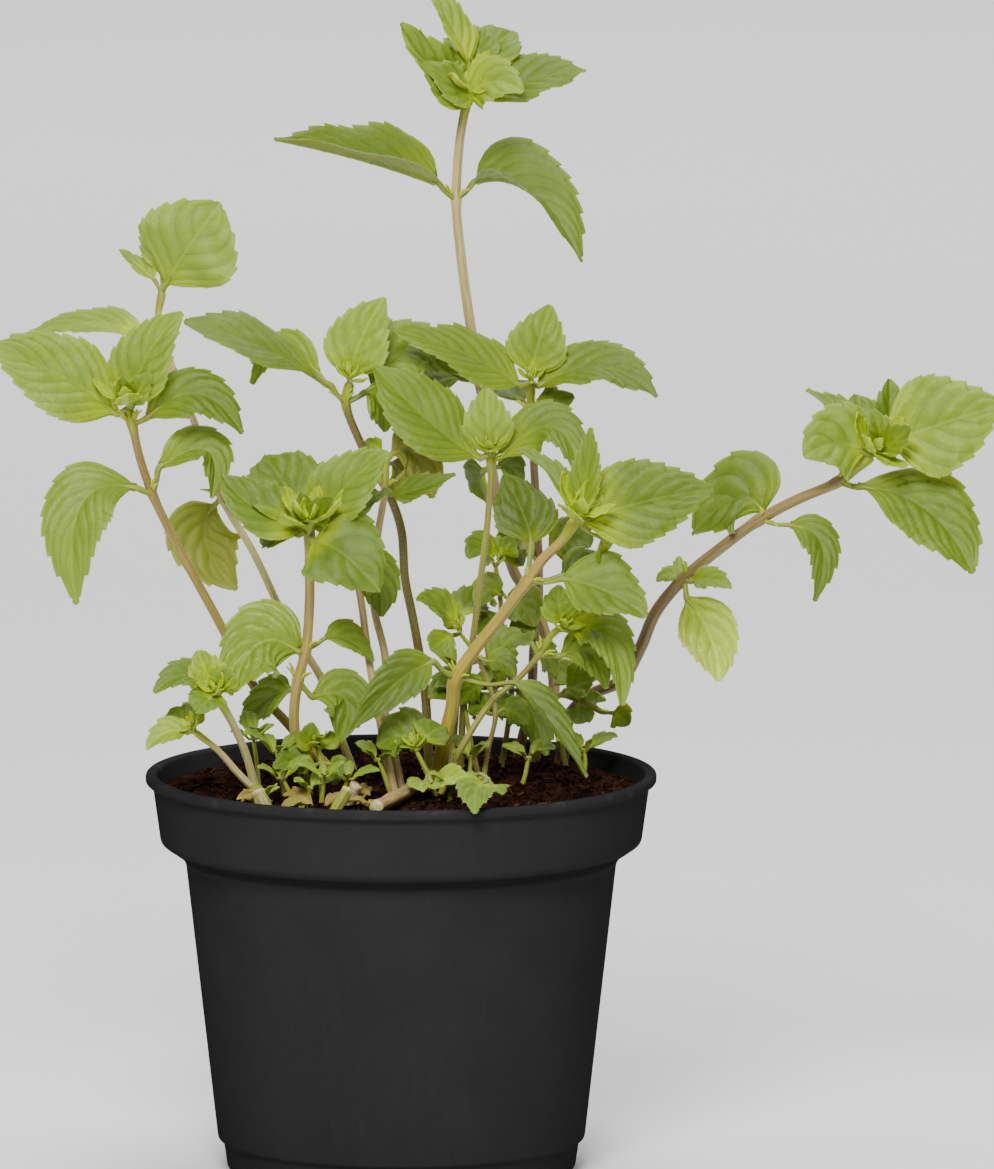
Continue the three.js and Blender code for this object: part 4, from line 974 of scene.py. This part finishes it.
def tooth_rows(length, detail):
    """Where the blade's rows lie, how far each is out of its tooth, and the teeth's pitch."""
    teeth = int(np.clip(round(length / (2.3 + 0.05 * length)), 3, 10))
    pitch = (TEETH_TO - TEETH_FROM) / teeth
    u, out = [0.0, 0.03, 0.065], [0.3, 0.3, 0.3]
    for k in range(teeth):
        for f in TOOTH_ROWS[detail]:
            u.append(TEETH_FROM + (k + f) * pitch)
            rising = f <= TOOTH_RISE
            out.append((f / TOOTH_RISE) ** 0.85 if rising else 1 - (f - TOOTH_RISE) / TOOTH_FALL)
    return np.array([*u, TEETH_TO, 0.99]), np.array([*out, 0.0, 0.0]), pitch


def blade_faces(rows, cols):
    """Faces of a closed blade: the upper grid's points, the lower one's without its edge
    columns, which both share, and the point at the tip."""
    low = rows * cols
    end = low + rows * (cols - 2)

    def over(i, j):
        return i * cols + j

    def under(i, j):
        return over(i, j) if j in (0, cols - 1) else low + i * (cols - 2) + j - 1

    faces = []
    for i in range(rows - 1):
        for j in range(cols - 1):
            faces.append((over(i, j), over(i + 1, j), over(i + 1, j + 1), over(i, j + 1)))
            faces.append((under(i, j), under(i, j + 1), under(i + 1, j + 1), under(i + 1, j)))
    i = rows - 1
    for j in range(cols - 1):
        faces.append((over(i, j), end, over(i, j + 1)))
        faces.append((under(i, j), under(i, j + 1), end))
        faces.append(tuple(dict.fromkeys((j, j + 1, under(0, j + 1), under(0, j)))))
    return faces


def blade_relief(u, a, side, reach, length, width, veins, quilt, seed):
    """How far the blade bulges between its sunken veins, and how thick it is with its ribs."""
    scale = min(1.0, width / FULL_WIDTH)
    phase = veins * (u - (VEIN_LEAN * a + VEIN_BEND * a ** 3))
    off = np.abs(phase - np.round(phase)) * length / veins
    fade = (1 - smooth(a, 0.72, 1.0)) * (1 - smooth(u, 0.78, 0.98))
    body = smooth(reach, 0.3, 2.2)
    puff = (0.5 - 0.5 * np.cos(2 * math.pi * phase)) ** 0.7
    cell = 0.80 + 0.20 * np.cos(2 * math.pi * (a * 4.2 + np.floor(phase) * 0.37 + seed))
    swell = QUILT_HEIGHT * puff * cell * body * fade
    relief = quilt * scale * (swell - VEIN_SINK * np.exp(-(off / VEIN_WIDTH) ** 2) * fade)
    relief = relief - MIDRIB_SINK * scale * np.exp(-(reach / MIDRIB_WIDTH) ** 2) * (1 - 0.6 * u)
    waves = ((8.0, 3.0, seed), (13.0, -5.0, 2 * seed), (19.0, 7.5, 3 * seed))
    uneven = sum(np.sin(ku * u + ka * a * side + start) for ku, ka, start in waves) / 3
    relief = relief + UNEVENNESS * width * quilt * body * uneven

    rib = mix(RIB_AT_BASE, RIB_AT_TIP, u) * scale
    thick = BLADE_THICKNESS * (1 - a ** 8) + rib * np.exp(-(reach / (0.25 + 0.6 * rib)) ** 2)
    side_rib = SIDE_RIB * np.exp(-(off / SIDE_RIB_WIDTH) ** 2) * fade * body
    return relief, thick + side_rib * quilt * scale


def leaf(sheets, base, middle, tip, width, faces_to, fold, tint, widest=WIDEST_AT, young=0.0,
         young_to=0.42, gloss=0.0, quilt=1.0, curl=0.12, wave=1.0, twist=0.0):
    """One blade: closed, thin, saw-toothed, with sunken veins above and ribs below."""
    base, middle, tip = (np.array(p, float) for p in (base, middle, tip))
    at, slope = bezier(base, middle, tip)
    length = float(distance_along(at(np.linspace(0, 1, 40)))[-1])
    detail = "fine" if length > 17 else "middle" if length > 9 else "coarse"
    u, out, pitch = tooth_rows(length, detail)
    columns = np.array(COLUMNS[detail])
    signed = np.concatenate([-columns[:0:-1], columns])
    a = np.abs(signed)[None, :]
    side = np.sign(signed)[None, :]
    rows, cols = len(u), len(signed)

    # How far from the midrib each point lies, out to the teeth, which lean to the tip.
    uu = np.broadcast_to(u[:, None], (rows, cols))
    half = np.maximum(0.5 * width * outline(u, widest), min(1.0, 0.08 * width))[:, None]
    bite = TOOTH_DEPTH * pitch * length * np.clip(np.sin(math.pi * u), 0, 1) ** 0.4
    bite = np.minimum(bite, 0.16 * half[:, 0])[:, None]
    edge = half + bite * (1.25 * out[:, None] - 0.95)
    reach = half * a + (edge - half) * a ** 5
    shift = 0.26 * pitch * out[:, None] * a ** 5 * (np.sin(math.pi * uu) ** 0.3)
    t = np.clip(uu + shift, 0, 1)

    # The blade's own directions, which twist slowly towards the tip.
    centre, tangent = at(t), slope(t)
    across = unit(np.cross(tangent, np.array(faces_to, float)))
    up = np.cross(across, tangent)
    turn = np.radians(twist) * (uu - 0.2)[..., None]
    across, up = across * np.cos(turn) + up * np.sin(turn), up * np.cos(turn) - across * np.sin(turn)

    # Heights over the midrib: the fold, the drooping and waving margin, and the quilting.
    lift = math.radians(fold)
    seed = any_phase()
    swing = np.sin(2 * math.pi * (2.3 + 0.4 * side) * uu + seed + 2 * side)
    flutter = FLUTTER * width * wave * a ** 2.2 * swing
    veins = float(np.clip(round(length / VEIN_SPACING), 4, 7))
    relief, thick = blade_relief(uu, a, side, reach, length, width, veins, quilt, seed)
    droop = curl * reach * a * a
    height = np.sin(lift) * reach - droop + flutter + relief
    top = centre + across * (side * reach * math.cos(lift))[..., None] + up * height[..., None]
    bottom = top - up * thick[..., None]
    if length > 8:
        for column, sign in ((0, -1), (-1, 1)):
            outward = sign * across[3:, column] + 0.5 * tangent[3:, column]
            sheets.may_grow_hairs(top[3:, column], unit(outward))

    def both(upper, lower, at_tip):
        return np.vstack([upper.reshape(-1, 3), lower[:, 1:-1].reshape(-1, 3), [at_tip]])

    # What the look reads: the place on the blade, its colour, and which side it is on.
    aa = np.broadcast_to(a, uu.shape)
    blade = np.stack([uu, aa, np.full_like(uu, veins)], axis=-1)
    spot = np.stack([uu * length + seed * 40, side * reach + 0 * uu, np.full_like(uu, seed)], axis=-1)
    fresh = young * (1 - smooth(uu, 0.0, young_to)) * (1 - 0.3 * aa)
    paint = mix(np.array(tint), YOUNG, np.clip(fresh, 0, 1)[..., None])
    paint = mix(paint, paint * np.array([1.25, 1.2, 1.35]), smooth(aa, 0.9, 1.0)[..., None])
    kind_above, kind_below = (np.full((rows, cols, 3), (below, gloss, length)) for below in (0, 1))
    sheets.add(
        both(top, bottom, at(np.array([1.0]))[0]), blade_faces(rows, cols),
        blade=both(blade, blade, (1.0, 0.0, veins)),
        spot=both(spot, spot, (length + seed * 40, 0.0, seed)),
        tint=both(paint, paint, paint[-1, cols // 2]),
        kind=both(kind_above, kind_below, (0.0, gloss, length)),
    )
    return at, slope


def stalk(sheets, node, base, at, slope, radius, tint):
    """The leaf's stalk: out of the stem, and on under the blade as its midrib."""
    node, base = np.array(node, float), np.array(base, float)
    gap = np.linalg.norm(base - node)
    ahead = slope(np.array([0.0]))[0]
    start = node + (base - node) * 0.12
    bend = mix(node, base, 0.55) - UP * 0.06 * gap
    in_blade = at(np.array([0.06, 0.16]))
    drop = UP * -0.25
    knots = [start, bend, base - ahead * 0.3 + drop * 0.4, in_blade[0] + drop, in_blade[1] + drop]
    points, radii, _ = course(knots, 0.9, [radius, radius * 0.8, radius * 1.05, radius * 0.6, 0.15])
    tube(sheets, points, radii, 8, tint)


def hairs(sheets, sources):
    """Short pale hairs on a share of the places where the sources may grow them."""
    roots = np.vstack([part for source in sources for part in source.hair_roots])
    ways = np.vstack([part for source in sources for part in source.hair_ways])
    chosen = draws.random(len(roots)) < HAIR_SHARE
    roots, ways = roots[chosen], unit(ways[chosen] + draws.normal(0, 0.3, (int(chosen.sum()), 3)))
    roots = roots - ways * HAIR_RADIUS
    side = unit(np.cross(ways, [0.31, 0.17, 0.93]))
    other = np.cross(ways, side)
    long = draws.uniform(*HAIR_LENGTHS, (len(roots), 1))
    corners = [roots + HAIR_RADIUS * (side * math.cos(t) + other * math.sin(t)) for t in (0.0, 2.1, 4.2)]
    points = np.stack([*corners, roots + ways * long], axis=1).reshape(-1, 3)
    faces = []
    for first in range(0, len(points), 4):
        a, b, c, tip = range(first, first + 4)
        faces += [(a, c, b), (a, b, tip), (b, c, tip), (c, a, tip)]
    sheets.add(points, faces, spot=points, tint=np.broadcast_to(HAIR, points.shape))


# ---- shoots

def stem_tint(left, sides, tone="green", pink=0.15):
    """Colours of a stem's rings, which lie `left` mm from its tip. It is freshest there."""
    low, high = STEM_TONES[tone]
    base = mix(low, high, (1 - left / left[0])[:, None, None])
    turn = around(sides)[None, :, None]
    flush = pink * (0.5 + 0.5 * np.cos(turn - any_phase()))
    fresh = 0.95 * (1 - smooth(left, 2.5, 9.5))[:, None, None]
    return mix(mix(base, PINK, flush), FRESH_STEM, fresh)


def crown_bud(leaves, centre, heading, size):
    """Four pairs of ever smaller, folded young leaves round a growing tip."""
    heading = unit(np.array(heading, float))
    sideways = unit(np.cross(heading, [0.3, 0.1, 1.0]))
    other = np.cross(heading, sideways)
    start = any_phase()
    for pair, (share, open_out) in enumerate(((1.1, 1.3), (0.9, 0.9), (0.7, 0.55), (0.45, 0.25))):
        for half in (0, 1):
            turn = start + pair * 1.57 + half * math.pi + rng.uniform(-0.25, 0.25)
            out = sideways * math.cos(turn) + other * math.sin(turn)
            long = size * share * rng.uniform(0.85, 1.15)
            base = np.array(centre) + out * 0.5 + heading * 0.5 * pair
            tip = base + unit(heading + out * open_out) * long
            middle = mix(base, tip, 0.5) + out * 0.16 * long
            tint = mix(BUD, LEAF_LIGHT, 0.4 * max(open_out - 0.5, 0))
            leaf(leaves, base, middle, tip, long * 0.64, heading - out * 0.9, 16, tint,
                 BUD_WIDEST_AT, quilt=1.1)


def tuft(leaves, stems, x, y, lean, height, size, tint):
    """A seedling-like side shoot at the soil: a short stem with small leaves in pairs."""
    root = np.array([x, y, float(soil_height(x, y)) - 1.5])
    top = root + np.array([lean[0] * height, lean[1] * height, height + 1.5])
    sway = np.array([rng.uniform(-0.6, 0.6), rng.uniform(-0.6, 0.6), 0])
    points, radii, _ = course([root, mix(root, top, 0.5) + sway, top], 0.8, [0.75, 0.6, 0.5])
    left = np.linspace(height, 0, len(points))
    tube(stems, points, radii, 10, stem_tint(left, 10), 0.08)
    turn = any_phase()
    for share, spread in ((1.0, 0.9), (0.6, 0.5)):
        for half in (0, 1):
            out = np.array([math.cos(turn + half * math.pi), math.sin(turn + half * math.pi), 0])
            long = size * share * rng.uniform(0.85, 1.15)
            base = top + out * 1.1
            tip = base + unit(out * spread + np.array([0, -0.15, rng.uniform(0.15, 0.8)])) * long
            middle = mix(base, tip, 0.5) + UP * 0.13 * long
            faces_to = np.array([0, -0.35, 0.8]) - out * 0.4
            at, slope = leaf(leaves, base, middle, tip, long * 0.62, faces_to, 18, tint,
                             BUD_WIDEST_AT, young=0.4, young_to=0.7, quilt=0.9)
            stalk(stems, top, base, at, slope, 0.4, mix(STALK, tint, 0.5))
        turn += 1.57


def axil_buds(leaves, node, along):
    """Two pairs of tiny leaves where a pair of big ones leaves the stem."""
    side = unit(np.cross(along, [0.3, 1.0, 0.2]))
    for sign in (-1, 1):
        out = unit(side * sign + along * 0.9 + np.array([0, -0.5, 0]))
        for spread in (-0.35, 0.35):
            long = rng.uniform(2.6, 4.6)
            base = node + out * 1.2
            tip = base + unit(out + np.cross(out, side * sign + along) * spread + along * 0.3) * long
            middle = mix(base, tip, 0.5) + along * 0.1 * long
            leaf(leaves, base, middle, tip, long * 0.5, unit(along - out * 0.5), 22, BUD,
                 BUD_WIDEST_AT, quilt=0.6)


def side_leaves(name, rows, leaf_material, stem_material):
    """More leaves on a shoot that has grown already, as pieces of their own."""
    leaves, stems = Sheets(), Sheets()
    knots = SHOOTS[name].stem
    for index, base, middle, tip, width, faces_to, fold in rows:
        tint = mix(LEAF_DARK, LEAF_LIGHT, rng.uniform(0.45, 0.75))
        young = 1.0 if index == len(knots) - 1 else 0.3
        at, slope = leaf(leaves, base, middle, tip, width, faces_to, fold, tint, young=young)
        stalk(stems, knots[index], base, at, slope, 0.5, mix(STALK, tint, 0.45))
    leaves.build(name + "_side_leaves", leaf_material, "mint_leaf_and_stem", name)
    stems.build(name + "_side_stalks", stem_material, "mint_leaf_and_stem", name)


def grow_stem(stems, shoot, knots, joints, swollen_crown):
    """The stem from its root to its tip, a little thicker where leaves leave it."""
    root = knots[0] + unit(knots[0] - knots[1]) * ROOT_DEPTH
    radii = np.interp(np.linspace(0, 1, len(knots) + 1), (0, 1), shoot.thick)
    points, radius, marks = course([root, *knots], 1.3, radii)
    radius = radius * STEM_SLIMNESS
    length = distance_along(points)
    for index in joints:
        off = length - length[marks[index + 1]]
        radius = radius * (1 + JOINT_SWELL * np.exp(-(off / JOINT_REACH) ** 2))
    left = length[-1] - length
    if swollen_crown:
        radius = radius * (1 + CROWN_SWELL * np.exp(-(left / CROWN_REACH) ** 2))
    radius[-3:] *= (0.95, 0.85, 0.7)
    tint = stem_tint(left, STEM_SIDES, shoot.tone, shoot.pink)
    tube(stems, points, radius, STEM_SIDES, tint, 0.11, hairy=True)


def grow(name, shoot, leaf_material, stem_material):
    """A shoot with its stem, leaves, buds, tufts and hairs. Sprigs have no buds on the way."""
    leaves, stems = Sheets(), Sheets()
    full_grown = name.startswith("shoot_")
    knots = [np.array(p, float) for p in shoot.stem]
    last = len(knots) - 1
    joints = sorted({row[0] for row in shoot.leaves})
    grow_stem(stems, shoot, knots, joints, full_grown)
    for index, base, middle, tip, width, faces_to, fold, *unusual in shoot.leaves:
        crown = index == last
        tiny = crown and width <= TINY_LEAF
        settings = dict(
            light=shoot.light + rng.uniform(-0.15, 0.15), brown=0.0,
            young=0.5 if tiny else 1.0 if crown else 0.25,
            young_to=1.0 if tiny else 0.38,
            quilt=rng.uniform(0.7, 1.2), curl=rng.uniform(0.05, 0.16),
            wave=rng.uniform(0.6, 1.3), twist=rng.uniform(-10, 10),
        )
        settings.update(*unusual)
        # The light value sets the tint from dark to light green; it is partly the leaf's own tone and
        # partly painted light.
        light = 2 * settings.pop("light") - 1
        tint = mix(LEAF, LEAF_LIGHT, light) if light > 0 else mix(LEAF_DARK, LEAF, light + 1)
        tint = mix(tint, BROWN_LEAF, settings.pop("brown"))
        at, slope = leaf(leaves, base, middle, tip, width, faces_to, fold, tint, **settings)
        radius = SMALL_STALK_RADIUS if width < SMALL_LEAF else STALK_RADIUS
        stalk(stems, knots[index], base, at, slope, radius, mix(STALK, tint, 0.45))
    if full_grown:
        for index in joints:
            if index != last:
                axil_buds(leaves, knots[index], unit(knots[index + 1] - knots[index - 1]))
    for x, y, lean, height, size, light in shoot.tufts:
        tuft(leaves, stems, x, y, lean, height, size, mix(LEAF, LEAF_LIGHT, light))
    if shoot.bud:
        ahead = unit(knots[-1] - knots[-2])
        centre = knots[-1] + ahead + np.array([0, -0.26, 0.10]) * shoot.bud
        crown_bud(leaves, centre, ahead + np.array([0, -0.45, 0.3]), shoot.bud)
    hairs(stems, (leaves, stems))
    leaves.build(name + "_leaves", leaf_material, "mint_leaf_and_stem", name)
    stems.build(name + "_stem", stem_material, "mint_leaf_and_stem", name)


# ---- pot

def rounded(profile, radius):
    """The profile with each corner rounded off in three short steps."""
    result = []
    for i, point in enumerate(profile):
        here = np.array(point, float)
        if i in (0, len(profile) - 1):
            result.append(here)
            continue
        before, after = np.array(profile[i - 1], float), np.array(profile[i + 1], float)
        r = min(radius, 0.4 * np.linalg.norm(before - here), 0.4 * np.linalg.norm(after - here))
        start = here + unit(before - here) * r
        end = here + unit(after - here) * r
        for t in (0.0, 0.33, 0.67, 1.0):
            result.append(start * (1 - t) ** 2 + here * 2 * t * (1 - t) + end * t * t)
    return result


def lathe(name, profile):
    """A closed solid turned about Z. The profile starts and ends on the axis."""
    mesh = bpy.data.meshes.new(name)
    bm = bmesh.new()
    turns = around(POT_SEGMENTS)
    bottom = bm.verts.new((0, 0, profile[0][1] * MM))
    rings = [
        [bm.verts.new((r * MM * math.cos(t), r * MM * math.sin(t), z * MM)) for t in turns]
        for r, z in profile[1:-1]
    ]
    top = bm.verts.new((0, 0, profile[-1][1] * MM))
    for k in range(POT_SEGMENTS):
        n = (k + 1) % POT_SEGMENTS
        bm.faces.new((bottom, rings[0][n], rings[0][k]))
        bm.faces.new((top, rings[-1][k], rings[-1][n]))
        for low, high in zip(rings, rings[1:]):
            bm.faces.new((low[k], low[n], high[n], high[k]))
    bm.to_mesh(mesh)
    bm.free()
    return add_object(name, mesh)


def wall_line(inset, floor):
    """The wall from the floor up to the band, `inset` mm inside the pot's outer face."""
    return [
        (FOOT_BOTTOM_RADIUS - inset, floor),
        (FOOT_TOP_RADIUS - inset, FOOT_HEIGHT - 0.7),
        (WALL_BOTTOM_RADIUS - inset, FOOT_HEIGHT + 0.5 * inset),
        (WALL_TOP_RADIUS - inset, WALL_TOP + 0.2 * inset),
        (SHOULDER_RADIUS - inset, SHOULDER_BOTTOM + 0.8 * inset),
        (BAND_BOTTOM_RADIUS - inset, BAND_BOTTOM + 0.8 * inset),
    ]


def drain_cutter():
    """One upright cylinder for each drainage hole, through the pot's floor."""
    cutter = add_object("drain_cutter", bpy.data.meshes.new("drain_cutter"))
    bm = bmesh.new()
    circle = DRAIN_CIRCLE_RADIUS * MM
    for turn in around(DRAIN_HOLES) + math.pi / DRAIN_HOLES:
        made = bmesh.ops.create_cone(
            bm, cap_ends=True, segments=32, radius1=DRAIN_RADIUS * MM,
            radius2=DRAIN_RADIUS * MM, depth=DRAIN_CUT_DEPTH * MM)
        centre = (circle * math.cos(turn), circle * math.sin(turn), 0)
        bmesh.ops.translate(bm, verts=made["verts"], vec=centre)
    bm.to_mesh(cutter.data)
    bm.free()
    return cutter


def make_pot():
    """The pot as one turned solid with its drainage holes cut."""
    lip_bottom = POT_HEIGHT - LIP_HEIGHT
    profile = [
        (0, 0),
        (FOOT_BOTTOM_RADIUS - FOOT_BEVEL, 0),
        *wall_line(0, 0.9),
        (BAND_TOP_RADIUS - 0.15, lip_bottom - 0.5),
        (BAND_TOP_RADIUS, lip_bottom),
        (LIP_RADIUS, lip_bottom + 0.5),
        (LIP_RADIUS, POT_HEIGHT),
        (BAND_TOP_RADIUS - POT_WALL, POT_HEIGHT),
        *wall_line(POT_WALL, FLOOR_THICKNESS)[::-1],
        (0, FLOOR_THICKNESS),
    ]
    pot = lathe("pot_body", rounded(profile, CORNER_ROUNDING))
    cutter = drain_cutter()
    cut = pot.modifiers.new("drains", "BOOLEAN")
    cut.object = cutter
    cut.operation = "DIFFERENCE"
    cut.solver = "EXACT"
    bpy.context.view_layer.objects.active = pot
    bpy.ops.object.modifier_apply(modifier="drains")
    bpy.data.objects.remove(cutter)
    pot.data.shade_smooth()
    pot.data.set_sharp_from_angle(angle=math.radians(40))
    pot.data.materials.append(pot_look())
    place(pot, "pot_plastic", "pot")


# ---- soil

def soil_height(x, y):
    """The soil's gently waved top, which sinks a little towards the pot's wall."""
    share = np.minimum(np.hypot(x, y) / SOIL_EDGE_RADIUS, 1)
    relief = sum(h * np.sin(kx * x + ky * y) for kx, ky, h in SOIL_WAVES)
    return SOIL_EDGE + (SOIL_TOP - SOIL_EDGE + relief) * (1 - share ** 4)


class Lumps:
    """Smooth random ground: sums of randomly turned waves of one size after another."""

    def __init__(self, sizes, count=7):
        self.waves = []
        for size, height in sizes:
            for _ in range(count):
                turn = rng.uniform(0, 2 * math.pi)
                k = 2 * math.pi / (size * rng.uniform(0.75, 1.3))
                self.waves.append((
                    k * math.cos(turn), k * math.sin(turn), any_phase(), height / math.sqrt(count)))

    def __call__(self, x, y):
        return sum(h * np.sin(kx * x + ky * y + p) for kx, ky, p, h in self.waves)


def random_spot(field_radius):
    """A random place on the soil: its distance from the centre and its angle."""
    return field_radius * math.sqrt(rng.random()), rng.uniform(0, 2 * math.pi)


def make_soil_bed(material, lumps):
    """The soil as one solid block: its lumpy top, then its side down to the pot's floor."""
    radius = SOIL_EDGE_RADIUS * np.linspace(0, 1, SOIL_RINGS + 1)[1:, None]
    turns = around(SOIL_SIDES)
    x = radius * np.cos(turns)
    y = radius * np.sin(turns)
    z = soil_height(x, y) + lumps(x, y) * np.clip((SOIL_EDGE_RADIUS - radius) / 6, 0.35, 1)
    floor = FLOOR_THICKNESS + SOIL_CLEARANCE
    below = [(SOIL_EDGE_RADIUS - 0.1, SOIL_EDGE - 2.4)]
    below += wall_line(POT_WALL + SOIL_CLEARANCE, floor)[::-1]
    side = np.array([[(r * math.cos(t), r * math.sin(t), h) for t in turns] for r, h in below])
    grid = np.concatenate([np.stack([x, y, z], axis=-1), side])
    centres = [(0, 0, float(soil_height(0.0, 0.0))), (0, 0, floor)]
    soil = Sheets()
    faces = closed_faces(len(grid), SOIL_SIDES, flip=True)
    soil.add(np.vstack([grid.reshape(-1, 3), *centres]), faces)
    soil.build("soil_bed", material, "soil", "soil")


def make_crumbs(material, ground):
    """Lumps of peat of many sizes, flattened and turned at random."""
    crumbs = Sheets()
    template = bmesh.new()
    bmesh.ops.create_icosphere(template, subdivisions=2, radius=1.0)
    ball = np.array([v.co[:] for v in template.verts])
    shell = [tuple(v.index for v in f.verts) for f in template.faces]
    template.free()
    for _ in range(CRUMBS):
        r, t = random_spot(CRUMB_FIELD_RADIUS)
        size = min(LARGEST_CRUMB, CRUMB_RADIUS * math.exp(rng.gauss(0.12, 0.5)))
        x, y = r * math.cos(t), r * math.sin(t)
        rough = Lumps(((1.7, 0.28), (0.9, 0.14)), 3)
        dents = rough(ball[:, 0] * 1.3 + ball[:, 2], ball[:, 1] * 1.3 - ball[:, 2])
        lump = ball * (1 + dents[:, None])
        lump = lump * np.array([size * rng.uniform(0.8, 1.6), size, size * rng.uniform(0.55, 0.9)])
        c, s = math.cos(t * 7), math.sin(t * 7)
        lump = lump @ np.array([[c, -s, 0], [s, c, 0], [0, 0, 1]])
        crumbs.add(lump + np.array([x, y, ground(x, y) + 0.1 * size]), shell)
    crumbs.build("soil_crumbs", material, "soil", "soil")


def make_fibres(ground):
    """Thin bent fibres that lie on the peat."""
    fibres = Sheets()
    for _ in range(FIBRES):
        r, t = random_spot(FIBRE_FIELD_RADIUS)
        heading = rng.uniform(0, 2 * math.pi)
        stride = rng.uniform(*FIBRE_LENGTHS) / 4
        x, y = r * math.cos(t), r * math.sin(t)
        knots = []
        for _ in range(5):
            heading += rng.gauss(0, 0.35)
            knots.append((x, y, ground(x, y) + 0.25 + rng.uniform(-0.1, 0.5)))
            x += math.cos(heading) * stride
            y += math.sin(heading) * stride
            inward = min(1.0, FIBRE_LIMIT_RADIUS / math.hypot(x, y))
            x, y = x * inward, y * inward
        thick = rng.uniform(*FIBRE_RADII)
        points, radii, _ = course(knots, 0.8, [thick, thick, 0.5 * thick])
        tube(fibres, points, radii, 5, rng.choice(FIBRE_TONES) * rng.uniform(0.5, 1.2))
    fibres.build("soil_fibres", fibre_look(), "soil", "soil")


def make_soil():
    """The soil bed and, on its lumpy top, crumbs and fibres."""
    lumps = Lumps(((9.0, 0.45), (4.0, 0.45), (2.0, 0.33), (1.1, 0.2)))

    def ground(x, y):
        return float(soil_height(x, y) + lumps(x, y))

    material = soil_look()
    make_soil_bed(material, lumps)
    make_crumbs(material, ground)
    make_fibres(ground)


def make_old_stems():
    """Cut stubs and a lying stem, a little uneven, with pale cut ends."""
    material = old_stem_look()
    for name, (thick, bark, path) in OLD_STEMS.items():
        piece = Sheets()
        points, radii, _ = course(path, 0.6, [thick * 1.02, thick, thick * 0.94])
        share = np.linspace(0, 1, len(points))
        radii = radii * (1 + 0.05 * np.sin(share * 17 + thick) + 0.03 * np.sin(share * 41))
        tint = np.broadcast_to(colour(*bark), (len(points), STEM_SIDES, 3)).copy()
        tint[-2:] = CUT_END
        tube(piece, points, radii, STEM_SIDES, tint, 0.08, cap=0.12)
        piece.build(name + "_bark", material, "old_stem", name)


def make_dead_leaves(material):
    """Curled brown leaves at the foot of the old stems."""
    for name, places in DEAD_LEAVES.items():
        leaves = Sheets()
        for x, y, heading, size in places:
            turn = math.radians(heading)
            base = np.array([x, y, float(soil_height(x, y)) + 0.5])
            tip = base + np.array([math.cos(turn), math.sin(turn), 0.25]) * size
            middle = mix(base, tip, 0.5) + UP * 0.22 * size
            tint = mix(DEAD_LEAF, BROWN_LEAF, rng.uniform(0, 0.8))
            leaf(leaves, base, middle, tip, 0.6 * size, (0, -0.5, 0.8), 38, tint,
                 quilt=1.4, curl=0.4, wave=3.0, twist=rng.uniform(-40, 40))
        leaves.build(name + "_dead_leaves", material, "old_stem", name)


# ---- stage, camera, light. Lengths are metres here.

GROUND_SIZE = 9.0
CAMERA_TILT = math.radians(8.15)
CAMERA_DISTANCE = 4.0
CAMERA_LENS = 485.1
LOOK_AT = (0.02438, 0.0, 0.15018)
WORLD_LIGHT = 0.07


def make_stage():
    mesh = bpy.data.meshes.new("ground")
    corners = [(x * GROUND_SIZE, y * GROUND_SIZE, 0) for x, y in ((-1, -1), (1, -1), (1, 1), (-1, 1))]
    mesh.from_pydata(corners, [], [(0, 1, 2, 3)])
    mesh.materials.append(ground_look())
    add_object("ground", mesh)


def make_camera():
    data = bpy.data.cameras.new("camera")
    data.lens = CAMERA_LENS
    data.sensor_width = 36.0
    data.clip_end = 60.0
    camera = add_object("camera", data)
    camera.location = (
        LOOK_AT[0],
        LOOK_AT[1] - CAMERA_DISTANCE * math.cos(CAMERA_TILT),
        LOOK_AT[2] + CAMERA_DISTANCE * math.sin(CAMERA_TILT),
    )
    camera.rotation_euler = (math.pi / 2 - CAMERA_TILT, 0, 0)
    bpy.context.scene.camera = camera


def soft_light(name, position, size, power, target=(0.02, 0, 0.15)):
    data = bpy.data.lights.new(name, "AREA")
    data.shape = "RECTANGLE"
    data.size, data.size_y = size
    data.energy = power
    light = add_object(name, data)
    light.location = position
    aim = Vector(target) - Vector(position)
    light.rotation_euler = aim.to_track_quat("-Z", "Y").to_euler()


def make_light():
    world = bpy.data.worlds.new("studio")
    world.use_nodes = True
    background = world.node_tree.nodes["Background"]
    background.inputs["Color"].default_value = (1, 1, 1, 1)
    background.inputs["Strength"].default_value = WORLD_LIGHT
    bpy.context.scene.world = world
    soft_light("key", (-0.16, -1.30, 1.12), (0.55, 0.5), 38)
    soft_light("fill", (0.5, -1.8, 0.5), (0.5, 0.8), 4)
    soft_light("overhead", (0.1, 0.1, 1.3), (0.7, 0.7), 13)
    soft_light("ground_wash", (0.0, 2.4, 1.6), (5.0, 2.6), 100, target=(0.0, 2.4, 0.0))


make_camera()
make_stage()
make_light()
make_pot()
make_soil()
make_old_stems()
blade_material, stem_material = leaf_look(), stem_look()
for shoot_name, shoot in SHOOTS.items():
    grow(shoot_name, shoot, blade_material, stem_material)
for shoot_name, rows in SIDE_LEAVES.items():
    side_leaves(shoot_name, rows, blade_material, stem_material)
make_dead_leaves(blade_material)
